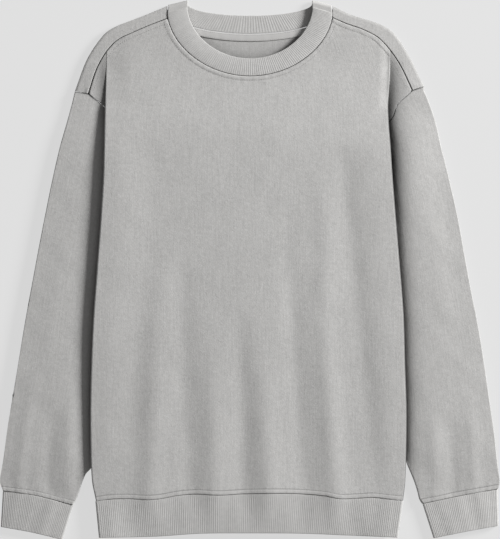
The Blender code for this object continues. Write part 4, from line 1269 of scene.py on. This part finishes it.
def fleece(name, level):
    """Brushed melange fleece: fibres, faint knit lines along the cloth, mottle and soft patches,
    darkened by painted shade from the shade attribute.
    """
    shader = Shader(name)
    uv = shader.node("UVMap", {"uv_map": "cloth"}).outputs[0]
    place = shader.node("TexCoord").outputs["Object"]
    fibres = shader.noise(uv, 620, (1.5, 0.7, 1), 4.0, 0.7)
    lines = shader.noise(uv, 430, (1.0, 0.07, 1), 2.0, 0.5)
    mottle = shader.noise(place, 210, (1, 1, 1), 4.0, 0.65)
    patches = shader.noise(place, 26, (1, 0.7, 1), 3.0, 0.5)
    tone = (0.5 + (fibres - 0.5) * 1.1 + (lines - 0.5) * 0.45 + (mottle - 0.5) * 0.9
            + (patches - 0.5) * 0.35)
    colour = mixed(shader, tone, grey(level * 0.80), grey(level * 1.20))
    # Painted shade: the cloth colour is mixed towards near black where the shade attribute is high.
    painted_shade = shader.node("Attribute", {"attribute_name": "painted_shade"}).outputs["Fac"]
    colour = mixed(shader, painted_shade, colour, grey(level * 0.08))
    nap = fibres * 0.7 + lines * 0.35 + mottle * 0.6
    return shader.finish(colour, nap, 0.0006, 0.55, 0.93, 0.12)


def rib_knit(name, level):
    """Rib knit: painted light on the ribs' backs and painted shade in their grooves, by the crest
    attribute, with fine stitches along them.
    """
    shader = Shader(name)
    uv = shader.node("UVMap", {"uv_map": "cloth"}).outputs[0]
    place = shader.node("TexCoord").outputs["Object"]
    crest = Number(shader, shader.node("Attribute", {"attribute_name": "crest"}).outputs["Fac"])
    fibres = shader.noise(uv, 900, (1, 1, 1), 3.0, 0.6)
    mottle = shader.noise(place, 150, (1, 1, 1), 4.0, 0.6)
    # Painted light and shade: paler where a rib is high, darker in its grooves.
    tone = 0.36 + crest * 0.3 + (fibres - 0.5) * 0.8 + (mottle - 0.5) * 0.8
    colour = mixed(shader, tone, grey(level * 0.82), grey(level * 1.18))
    return shader.finish(colour, fibres * 0.6 + mottle * 0.4, 0.0004, 0.45, 0.92, 0.1)


def plain_knit(name, level, depth=0.5):
    """Fine jersey or thread: a light fibre grain."""
    shader = Shader(name)
    place = shader.node("TexCoord").outputs["Object"]
    fibres = shader.noise(place, 1500, (1, 1, 1), 3.0, 0.6)
    colour = mixed(shader, 0.5 + (fibres - 0.5) * depth, grey(level * 0.85), grey(level * 1.15))
    return shader.finish(colour, fibres, 0.0002, 0.4, 0.85, 0.05)


# ---------------------------------------------------------------- the garment

FLEECE = fleece("brushed_fleece", 0.455)
RIB = rib_knit("rib_knit", 0.46)
TAPE_KNIT = plain_knit("jersey_tape", 0.48)
THREAD = plain_knit("sewing_thread", 0.33, 0.8)

front = front_panel(FLEECE)
back = back_panel(FLEECE)
sleeves = {name: sleeve(name, side, FLEECE) for name, side in SIDES.items()}
cuffs = {name: cuff(name, side, RIB) for name, side in SIDES.items()}
waist = waistband(RIB)
neck = collar(RIB)
tape = neck_tape(TAPE_KNIT)

# ---- rows of stitches: hem and neck, forward shoulders, cuffs, neck tape ----
tree = surface_of(front)
hem_x = np.linspace(-196, 194, 200)
hem_row = np.column_stack([hem_x, hem_line(HEM_SEAM, hem_x) + SEAM_GAP + HEM_STITCH + 0.2])
neck_angles = np.linspace(0.16, np.pi - 0.16, 200)
rows = [hem_row, neck_curve("front seam", neck_angles, NECK_GAP + NECK_STITCH + 0.4)]
for side in (-1, 1):
    line = SEAM_LINE[side] * [side, 1]
    direction = np.gradient(line, axis=0)
    direction /= np.linalg.norm(direction, axis=1)[:, None]
    inward = np.stack([direction[:, 1], -direction[:, 0]], axis=-1)
    inward = -inward * np.sign(inward @ [side, 0.6])[:, None]
    rows.append((line + inward * SHOULDER_STITCH)[8:-12])
front_stitches = add_stitches("front_stitching", [stitch_path(tree, row, 3.1) for row in rows],
                              THREAD)

for name, side in SIDES.items():
    seam = cuff_line(CUFF_SEAM, name, side, 100)
    row = stitch_path(surface_of(sleeves[name]), seam[2:-3] + [0, SEAM_GAP + HEM_STITCH], 3.1)
    add_stitches("sleeve_stitching_" + name, [row], THREAD)

tree = surface_of(tape)
line = neck_curve("back seam", np.linspace(2.73, np.pi - 2.73, 200))
rows = [stitch_path(tree, line - [0, down], 2.8) for down in (2.3, 8.9)]
tape_stitches = add_stitches("tape_stitching", rows, THREAD, thick=0.45)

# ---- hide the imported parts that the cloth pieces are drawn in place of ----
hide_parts("front")
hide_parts("back")
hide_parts("waistband")
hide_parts("neck_rib")
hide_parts("neck_tape")
for name in SIDES:
    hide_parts("sleeve_" + name)
    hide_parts("cuff_" + name)

# ---------------------------------------------------------------- table, light and camera

table_mesh = bpy.data.meshes.new("table")
table_mesh.from_pydata([(-6, -6, 0), (6, -6, 0), (6, 6, 0), (-6, 6, 0)], [], [(0, 1, 2, 3)])
table = bpy.data.objects.new("table", table_mesh)
table.location.z = -0.0002
bpy.context.scene.collection.objects.link(table)
surface = Shader("table_paper")
finish = surface.node("BsdfPrincipled", None, {
    "Base Color": (0.114, 0.114, 0.114, 1), "Roughness": 0.9, "Specular IOR Level": 0.1,
    "Emission Color": (1, 1, 1, 1), "Emission Strength": 0.64})
surface.node("OutputMaterial", None, {"Surface": finish.outputs[0]})
table_mesh.materials.append(surface.material)


def add_light(name, place, size, watts):
    """A soft rectangular light at a place, turned to face the origin."""
    light = bpy.data.lights.new(name, "AREA")
    light.shape = "RECTANGLE"
    light.size, light.size_y = size
    light.energy = watts
    lamp = bpy.data.objects.new(name, light)
    lamp.location = place
    tilt = np.arctan2(np.hypot(place[0], place[1]), place[2])
    lamp.rotation_euler = (tilt, 0, np.arctan2(place[1], place[0]) + np.pi / 2)
    bpy.context.scene.collection.objects.link(lamp)


add_light("window", (4.14, 1.93, 2.03), (1.5, 1.5), 470)
world = bpy.data.worlds.new("studio")
world.use_nodes = True
world.node_tree.nodes["Background"].inputs[0].default_value = (1, 1, 1, 1)
world.node_tree.nodes["Background"].inputs[1].default_value = 0.21
bpy.context.scene.world = world

CAMERA_HEIGHT = 6.0
view = bpy.data.cameras.new("camera")
view.angle = 2 * np.arctan(0.7104 / 2 / CAMERA_HEIGHT)
camera = bpy.data.objects.new("camera", view)
camera.location = (0.0007, 0.0003, CAMERA_HEIGHT)
bpy.context.scene.collection.objects.link(camera)
bpy.context.scene.camera = camera
bpy.context.scene.view_settings.view_transform = "Standard"
